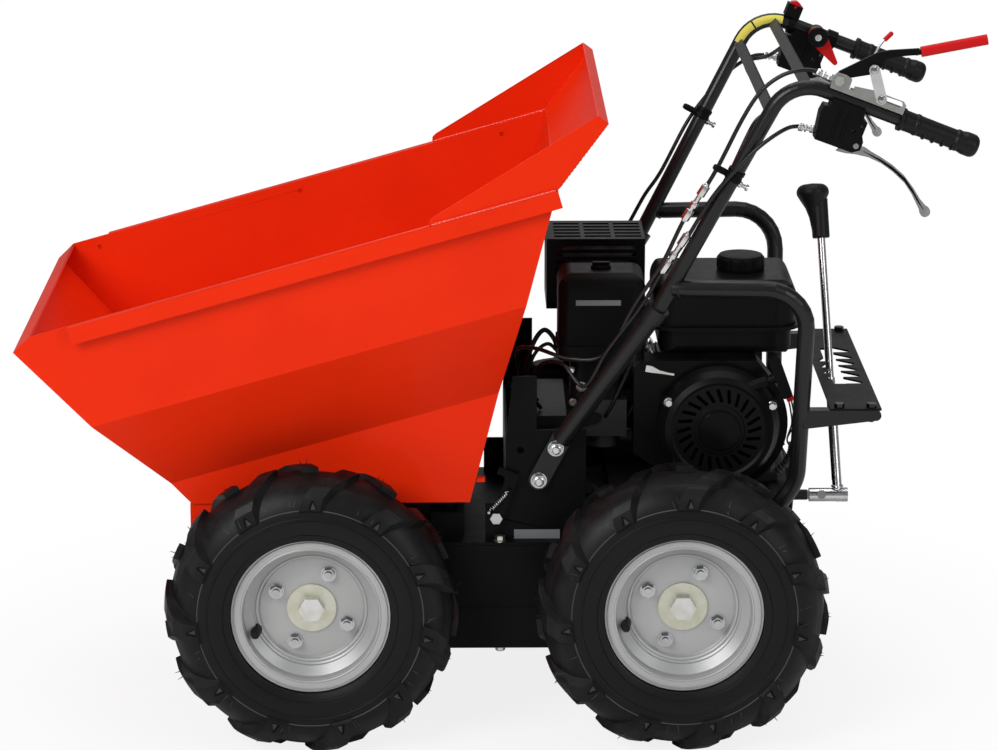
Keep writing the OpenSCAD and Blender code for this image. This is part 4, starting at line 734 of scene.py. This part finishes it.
def make_hoop_joints():
    """The hoops' tube ends, fish-mouthed and welded to the bars."""
    hoop_z, tube_r, joint_x, joint_y = 679, 12.2, 262, 265.2
    bm = bmesh.new()
    for side in (-1, 1):
        path = [(276, side * 266.3, hoop_z), (270, side * 265.9, hoop_z), (joint_x, side * joint_y, hoop_z),
                (254, side * 264.6, hoop_z)]
        sweep(bm, path, [12.4, 12.3, 12.1, 11.2], 24)
        turn = [math.radians(t) for t in range(0, 361, 15)]
        loop = [(joint_x - 3 * math.cos(2 * t), side * joint_y + tube_r * math.cos(t),
                 hoop_z + tube_r * math.sin(t)) for t in turn]
        sweep(bm, loop, ripples(1.6, 0.35, len(loop)), 8)
    piece("hoop_joints", bm, TUBE_BLACK, "machine", 50)


def make_lever_weld():
    """The weld round the gear lever's foot."""
    foot_x, rod_r, weld_z = 527.1, 7.2, 303.4
    weld = bmesh.new()
    turn = [math.radians(t) for t in range(0, 361, 15)]
    loop = [(foot_x + rod_r * math.cos(t), rod_r * math.sin(t), weld_z) for t in turn]
    sweep(weld, loop, ripples(2.0, 0.3, len(loop)), 8)
    piece("lever_weld", weld, CHROME, "gear_lever")


# Bolts and rivets

BAR_BOLTS = [(64.9, 370), (89.7, 419)]
LINK_PINS = [(530.2, 1003.9), (541.0, 962.5)]
LINK_FACE_Y = -319.2


def make_frame_bolts():
    """Bolts on and under the chassis, stud ends on the bars' bolts, and the deck's bolts."""
    bm = bmesh.new()
    for side in (-1, 1):
        for x in (-312, -160, 7.5):
            hex_head(bm, (x, side * 191, 277), (0, 0, 1), 13, 7, 9.5)
        for x in (-250, 8, 300):
            hex_head(bm, (x, side * 184, 112), (0, 0, -1), 13, 7, 9.5)
        for x, z in BAR_BOLTS:
            lathe(bm, [(7.6, 0), (7.6, 0.8), (6.4, 1.4), (5.6, 1.2), (5.4, 4), (4.4, 5), (0.4, 5)],
                  (x, side * 198.9, z), (0, side, 0), 24)
        for x in (215, 400):
            hex_head(bm, (x, side * 190, 335), (0, side, 0), 11, 5, 8)
    piece("frame_hex_bolts", bm, ZINC, "machine")


def make_link_rivets():
    rivets = bmesh.new()
    for x, z in LINK_PINS:
        lathe(rivets, [(5.6, 0), (5.6, 0.7), (4.8, 1.7), (2.6, 2.3), (0.3, 2.4)],
              (x, LINK_FACE_Y, z), (0, -1, 0), 24)
    piece("link_rivets", rivets, NUT_ZINC, "clutch_toggle")


# Cable fittings

def fitting(bm, start, end, radius=4.4):
    """A cable's adjuster: a barrel with a hexagon near each end and a thin locknut between them."""
    start, end = Vector(start), Vector(end)
    axis, length = end - start, (end - start).length
    lathe(bm, [(radius * 0.6, 0), (radius * 0.8, 1), (radius * 0.8, length - 2), (radius * 0.6, length)],
          start, axis, 20)
    nut = radius / math.cos(math.pi / 6) * 1.15
    for at, thick in ((0.06, 0.26), (0.5, 0.12), (0.7, 0.26)):
        lathe(bm, [(nut * 0.9, 0), (nut, 0.8), (nut, length * thick - 0.8), (nut * 0.9, length * thick)],
              start + axis * at, axis, 6)


def make_adjusters():
    bm = bmesh.new()
    hand = ((451, -299, 916.3), (426, -299.3, 920.6))
    fitting(bm, *hand)
    fitting(bm, *mirrored(hand))
    fitting(bm, (474, -307.7, 990), (450, -304.3, 999.8))
    fitting(bm, beside(822, 27.6, 0), beside(764, 31.8, 0), 4.8)
    fitting(bm, beside(755, 17, 3), beside(690, 22.2, 0), 4.6)
    piece("cable_adjusters", bm, ZINC, "machine")


def make_bar_clamps():
    """The clamp on each bar that holds the cables: a collar, an arm round the cables and a screw."""
    clamps, screws = bmesh.new(), bmesh.new()
    up = (BAR_CORNER - SOCKET_TOP).normalized()
    for z, on_side in ((848, list), (832, mirrored)):
        collar = [beside(z, 0, 0) + up * step for step in (-9, -8, -3, -2, 2, 3, 8, 9)]
        arm = [beside(z, ahead, 0) + up * -3 for ahead in (11, 16, 27, 31, 33)]
        screw = [beside(z - 8, ahead, 0) for ahead in (-11, -15, -16, -22, -23, -26)]
        sweep(clamps, on_side(collar), [11.6, 13, 13, 12.2, 12.2, 13, 13, 11.6], 18)
        sweep(clamps, on_side(arm), [4.5, 5, 5, 4.4, 3], 18)
        sweep(screws, on_side(screw), [4.6, 4.6, 3, 3, 5, 4.4], 18)
    piece("bar_clamps", clamps, PLASTIC, "machine")
    piece("bar_clamp_screws", screws, ZINC, "machine")


# Handlebar details

BEND_R = 58.0
GRIP_SLOPE = math.radians(20.8)
GRIP_ALONG = Vector((math.cos(GRIP_SLOPE), 0, -math.sin(GRIP_SLOPE)))
GRIP_UP = Vector((math.sin(GRIP_SLOPE), 0, math.cos(GRIP_SLOPE)))
THROTTLE_HUB = Vector((506.5, 245.6, 957.8))
# Where the hand levers' own measures and the grips' ribs begin, along the grips from the bars' corners
LEVER_START = 64.4
FIRST_RIB = 206


def on_bar(y, along):
    """A point on the line of a grip at a distance from the bar's corner."""
    return Vector((BAR_CORNER.x, y, BAR_CORNER.z)) + GRIP_ALONG * along


def make_yellow_strips():
    """Two plain yellow strips on the far bar's bend."""
    film_r, film_t, steps = 11.45, 0.4, 32
    before, corner = [Vector(p) for p in mirrored([SOCKET_TOP, BAR_CORNER])]
    back = (before - corner).normalized()
    half = back.angle(GRIP_ALONG) / 2
    middle = corner + (back + GRIP_ALONG).normalized() * BEND_R / math.sin(half)
    first = corner + back * BEND_R / math.tan(half)
    last = corner + GRIP_ALONG * BEND_R / math.tan(half)
    axis = (first - middle).cross(last - middle).normalized()
    turn = (first - middle).angle(last - middle)
    path = [first + back * 5]
    path += [middle + Matrix.Rotation(turn * k / steps, 3, axis) @ (first - middle) for k in range(steps - 2)]
    film = bmesh.new()
    for low, high in ((0, 12), (13, 30)):
        loops = []
        for i in range(low, high + 1):
            way = (path[min(i + 1, len(path) - 1)] - path[max(i - 1, 0)]).normalized()
            near = Vector((0, -1, 0))
            near = (near - way * near.dot(way)).normalized()
            over = near.cross(way)
            if over.z < 0:
                over = -over
            arc = [math.radians(-14 + 6 * k) for k in range(12)]
            ways = [near * math.cos(t) + over * math.sin(t) for t in arc]
            outside = [film.verts.new(path[i] + d * film_r) for d in ways]
            inside = [film.verts.new(path[i] + d * (film_r - film_t)) for d in reversed(ways)]
            loops.append(outside + inside)
        bridge(film, loops)
    piece("plain_yellow_strips", film, YELLOW_FILM, "machine")


def make_throttle_cap():
    cap = bmesh.new()
    lathe(cap, [(15.8, 0), (15.8, 5.5), (14.6, 7.6), (9, 8.4), (7, 7.6), (0.4, 7.6)],
          THROTTLE_HUB, (0, -1, 0), 36)
    piece("throttle_cap", cap, PLASTIC, "throttle")
    screw = bmesh.new()
    lathe(screw, [(5, 7.4), (5, 8.4), (3.9, 8.6), (3.4, 7.7), (1.9, 7.7), (1.6, 8.5), (0.2, 8.6)],
          THROTTLE_HUB, (0, -1, 0), 24)
    piece("throttle_screw", screw, ZINC, "throttle")


def make_lock_rod():
    """The thin rod with a red tip that locks the clutch lever."""
    rod = bmesh.new()
    bend = [(529, -301.5, 1016), (533, -300, 1026), (543, -291, 1039), (553, -284.5, 1047)]
    sweep(rod, smooth_curve(bend, 5), 1.7, 10)
    piece("clutch_lock_rod", rod, ZINC, "clutch_hand_lever")
    tip = bmesh.new()
    lathe(tip, [(2, 0), (3.4, 1), (3.4, 15), (2.4, 16.6), (0.4, 17)],
          (546, -289, 1041.5), (14, 8.5, 11.5), 16)
    piece("clutch_lock_tip", tip, RED_PLASTIC, "clutch_hand_lever")


def make_lever_grooves():
    """The dark groove along both faces of each hand lever, by its middle line and half width."""
    line = [(71, -61, 0.4), (98.5, -64.4, 1.5), (119, -69.5, 2.0), (141, -78, 2.2), (158.7, -90, 1.9),
            (172, -101, 1.4), (183, -109, 0.4)]
    outline = [(along, z + half) for along, z, half in line]
    outline += [(along, z - half) for along, z, half in reversed(line)]
    for name, bar_y in (("left", BAR_CORNER.y), ("right", -BAR_CORNER.y)):
        groove = bmesh.new()
        for face in (-1, 1):
            start = on_bar(bar_y + face * 4.2, LEVER_START)
            prism(groove, outline, start, GRIP_ALONG, GRIP_UP, -face * 0.35)
        piece(f"{name}_lever_groove", groove, GLOSS_BLACK, f"{name}_hand_lever")


def make_grip_ribs():
    """Four ribs under each grip."""
    rib_pitch, rib_r = 14.5, 14.6
    ribs = bmesh.new()
    for bar_y in (BAR_CORNER.y, -BAR_CORNER.y):
        for k in range(4):
            spot = on_bar(bar_y, FIRST_RIB) + GRIP_ALONG * (k * rib_pitch)
            arc = [math.radians(t) for t in range(196, 345, 12)]
            points = [spot + (Vector((0, 1, 0)) * math.cos(t) + GRIP_UP * math.sin(t)) * rib_r for t in arc]
            sweep(ribs, points, [0.5] + [2.4] * (len(points) - 2) + [0.5], 8)
    piece("grip_ribs", ribs, SOFT_RUBBER, "machine")


# Engine details

STARTER_Y = -176.2
CLEANER_FOOT_Y = -143
ROPE_ANGLE = math.radians(20)
ROPE_AXIS = Vector((math.cos(ROPE_ANGLE), 0, math.sin(ROPE_ANGLE)))
STARTER_HANDLE = Vector((412, -178, 522))
ROPE_R = 1.75


def make_engine_screws():
    """Screws on the starter and the air cleaner's foot, a pale pointer, and thin rods with a spring."""
    metal = bmesh.new()
    for x, y, z, flats in ((255.9, STARTER_Y, 484.9, 10), (408.7, STARTER_Y, 479.6, 10),
                           (328, STARTER_Y, 360, 10), (113.3, CLEANER_FOOT_Y, 526.4, 8),
                           (128.7, CLEANER_FOOT_Y, 500.3, 11), (116, CLEANER_FOOT_Y, 476.8, 8)):
        hex_head(metal, (x, y, z), (0, -1, 0), flats, 6, flats * 0.72)
    pointer = [(0, -3.4), (7, -3.4), (28, -2), (43, -1.6), (43, 1.6), (34, 1.2), (20, 2.4), (9, 6.4),
               (0, 6.4)]
    prism(metal, pointer, (223, -151.4, 529), (0.98, 0, -0.19), (0.19, 0, 0.98), 1.2)
    for path in ([(196, -128, 536), (205, -132, 566), (222, -136, 580), (234, -136, 566)],
                 [(200, -120, 552), (226, -128, 556), (234, -128, 548)],
                 [(203, -126, 575), (222, -130, 590), (236, -124, 588)]):
        sweep(metal, smooth_curve(path, 8), 1.5, 8)
    spring_r, step, turn = 3.2, 0.42, 0.8
    spring = [(203 + k * step, -136 + spring_r * math.sin(k * turn), 560 + spring_r * math.cos(k * turn))
              for k in range(70)]
    sweep(metal, spring, 0.7, 6)
    piece("engine_screws", metal, ZINC, "machine")


def make_hub_disc():
    """The plain disc in the middle of the starter's cover."""
    disc = bmesh.new()
    lathe(disc, [(30.2, 0), (30.2, 1.2), (29, 2.2), (0.5, 2.4)], (331, -190.1, 445), (0, -1, 0), 48)
    piece("starter_hub_disc", disc, GLOSS_BLACK, "machine")


def make_hoses():
    """Hoses beside the engine, two wires from the red connector and their ribbed conduit."""
    hoses = bmesh.new()
    for radius, path in ((3.6, [(38, -72, 455), (42, -68, 486), (56, -64, 540), (74, -60, 566),
                                (90, -62, 553), (97, -66, 528)]),
                         (2.8, [(52, -84, 452), (48, -80, 492), (60, -76, 532), (80, -72, 548),
                                (96, -76, 536)]),
                         (4.2, [(208, -96, 552), (222, -104, 520), (214, -112, 480), (198, -116, 446)])):
        sweep(hoses, smooth_curve(path, 10), radius, 10)
    for apart in (0, 4):
        wire = [(438 + apart, -121, 474), (442 + apart, -116, 456), (446 + apart, -97, 430), (440, -92, 404),
                (448, -84, 388)]
        sweep(hoses, smooth_curve(wire, 8), 1.3, 8)
    conduit = bmesh.new()
    path = smooth_curve([(449, -84, 396), (447, -82, 380), (438, -80, 362), (422, -78, 346)], 16)
    sweep(conduit, path, [6.4 if k % 4 < 2 else 5.0 for k in range(len(path))], 14)
    piece("ribbed_conduit", conduit, CONDUIT, "machine")
    piece("engine_hoses", hoses, SHEATH, "machine")


def make_starter_rope():
    """The starter's rope, hidden at rest."""
    count, step, inner = 71, 0.6, 66
    rope = bmesh.new()
    sweep(rope, [STARTER_HANDLE - ROPE_AXIS * (inner - k * step) for k in range(count)],
          [ROPE_R + 0.2 * math.cos(k * 1.9) for k in range(count)], 10)
    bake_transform(piece("starter_rope", rope, SHEATH, None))


def make_connector():
    plug = bmesh.new()
    outline = [(0, 0), (8, -1), (11, 3), (10, 15), (7, 20), (1, 19), (-1, 12)]
    prism(plug, outline, (436, -118, 472), (0.94, 0, 0.34), (-0.34, 0, 0.94), 11)
    piece("red_connector", plug, RED_PLASTIC, "machine")


def make_plates():
    """Bare plates where the machine carries its labels."""
    bm = bmesh.new()
    for length, height, thick, place in ((68, 18, 0.6, (28.5, -180, 273)), (66, 8, 0.5, (119, -164.6, 629))):
        prism(bm, [(0, 0), (length, 0), (length, height), (0, height)], place, (1, 0, 0), (0, 0, 1), thick)
    piece("bare_plates", bm, PLATE_GREY, "machine")


for make in (make_cables, make_wheel_details, make_tub_welds, make_hoop_joints, make_frame_bolts,
             make_lever_weld, make_link_rivets, make_adjusters, make_bar_clamps, make_yellow_strips,
             make_throttle_cap, make_lock_rod, make_lever_grooves, make_grip_ribs, make_engine_screws,
             make_hub_disc, make_hoses, make_starter_rope, make_connector, make_plates):
    make()
for node, width in (("tub", 2.5), ("spill_guard", 1.2), ("chassis_box", 2), ("engine_frame", 1.2),
                    ("shift_gate", 0.8), ("tub_hinge_brackets", 1), ("clutch_bracket", 0.5),
                    ("clutch_link", 0.5)):
    soften(node, width)


# Stage, light and camera

def area_light(name, place, target, size, power):
    """A soft lamp at a place, turned to a target."""
    data = bpy.data.lights.new(name, "AREA")
    data.shape = "RECTANGLE"
    data.size, data.size_y = size
    data.energy = power
    obj = bpy.data.objects.new(name, data)
    obj.location = place
    obj.rotation_euler = (Vector(target) - Vector(place)).to_track_quat("-Z", "Y").to_euler()
    bpy.context.collection.objects.link(obj)


def make_world():
    """A soft fill light that the camera sees as plain white."""
    world = bpy.data.worlds.new("studio")
    world.use_nodes = True
    bpy.context.scene.world = world
    tree = world.node_tree
    fill = tree.nodes["Background"]
    fill.inputs["Color"].default_value = (0.95, 0.97, 1.0, 1)
    fill.inputs["Strength"].default_value = 0.24
    white = tree.nodes.new("ShaderNodeBackground")
    white.inputs["Color"].default_value = (1, 1, 1, 1)
    white.inputs["Strength"].default_value = 1.0
    path = tree.nodes.new("ShaderNodeLightPath")
    mix = tree.nodes.new("ShaderNodeMixShader")
    tree.links.new(path.outputs["Is Camera Ray"], mix.inputs["Fac"])
    tree.links.new(fill.outputs["Background"], mix.inputs[1])
    tree.links.new(white.outputs["Background"], mix.inputs[2])
    tree.links.new(mix.outputs["Shader"], tree.nodes["World Output"].inputs["Surface"])


def make_floor():
    """A pale floor that turns plain white away from the machine."""
    bpy.ops.mesh.primitive_plane_add(size=30, location=(0, 0, 0))
    floor = bpy.context.object
    floor.name = "floor"
    finish = Finish("pale_floor", (0.93, 0.93, 0.93), 0.7, specular=0.1)
    finish.colour(finish.blend(finish.noise(3, 3), (0.94, 0.94, 0.94), (0.92, 0.92, 0.92)))
    x, y, _ = finish.axes()
    radius = finish.length(x, y)
    path = finish.add("ShaderNodeLightPath")
    white = finish.add("ShaderNodeEmission")
    white.inputs["Color"].default_value = (1, 1, 1, 1)
    mix = finish.add("ShaderNodeMixShader")
    clear = finish.spread(finish.ramp(radius, 0.4, 1.2), 0.84, 1.0)
    finish.link(finish.math("MULTIPLY", clear, path.outputs["Is Camera Ray"]), mix.inputs["Fac"])
    finish.link(finish.shader.outputs["BSDF"], mix.inputs[1])
    finish.link(white.outputs["Emission"], mix.inputs[2])
    finish.link(mix.outputs["Shader"], finish.tree.nodes["Material Output"].inputs["Surface"])
    floor.data.materials.append(finish.material)


def make_camera():
    """The photograph's viewpoint: square to the machine's left side, a little above it."""
    target = Vector((0.0074, 0.0, 0.48077 + RIDE * MM))
    azimuth, elevation, distance = math.radians(-0.62), math.radians(14.79), 5.42418
    data = bpy.data.cameras.new("camera")
    data.sensor_width = 36
    data.lens = 128.81
    camera = bpy.data.objects.new("camera", data)
    away = Vector((math.sin(azimuth) * math.cos(elevation), -math.cos(azimuth) * math.cos(elevation),
                   math.sin(elevation)))
    camera.location = target + away * distance
    camera.rotation_euler = (-away).to_track_quat("-Z", "Y").to_euler()
    bpy.context.collection.objects.link(camera)
    bpy.context.scene.camera = camera


make_world()
make_floor()
make_camera()
area_light("key", (-2.4, -3.3, 2.9), (-0.1, 0, 0.5), (2.4, 2.4), 132)
area_light("fill", (3.0, -3.2, 1.9), (0.1, 0, 0.5), (1.6, 2.4), 38)
area_light("top", (0.2, 0.4, 3.4), (0, 0, 0.5), (3.0, 2.0), 46)
area_light("back", (0.6, 3.6, 2.4), (0, 0, 0.5), (3.0, 2.0), 10)
bpy.context.scene.view_settings.view_transform = "Standard"
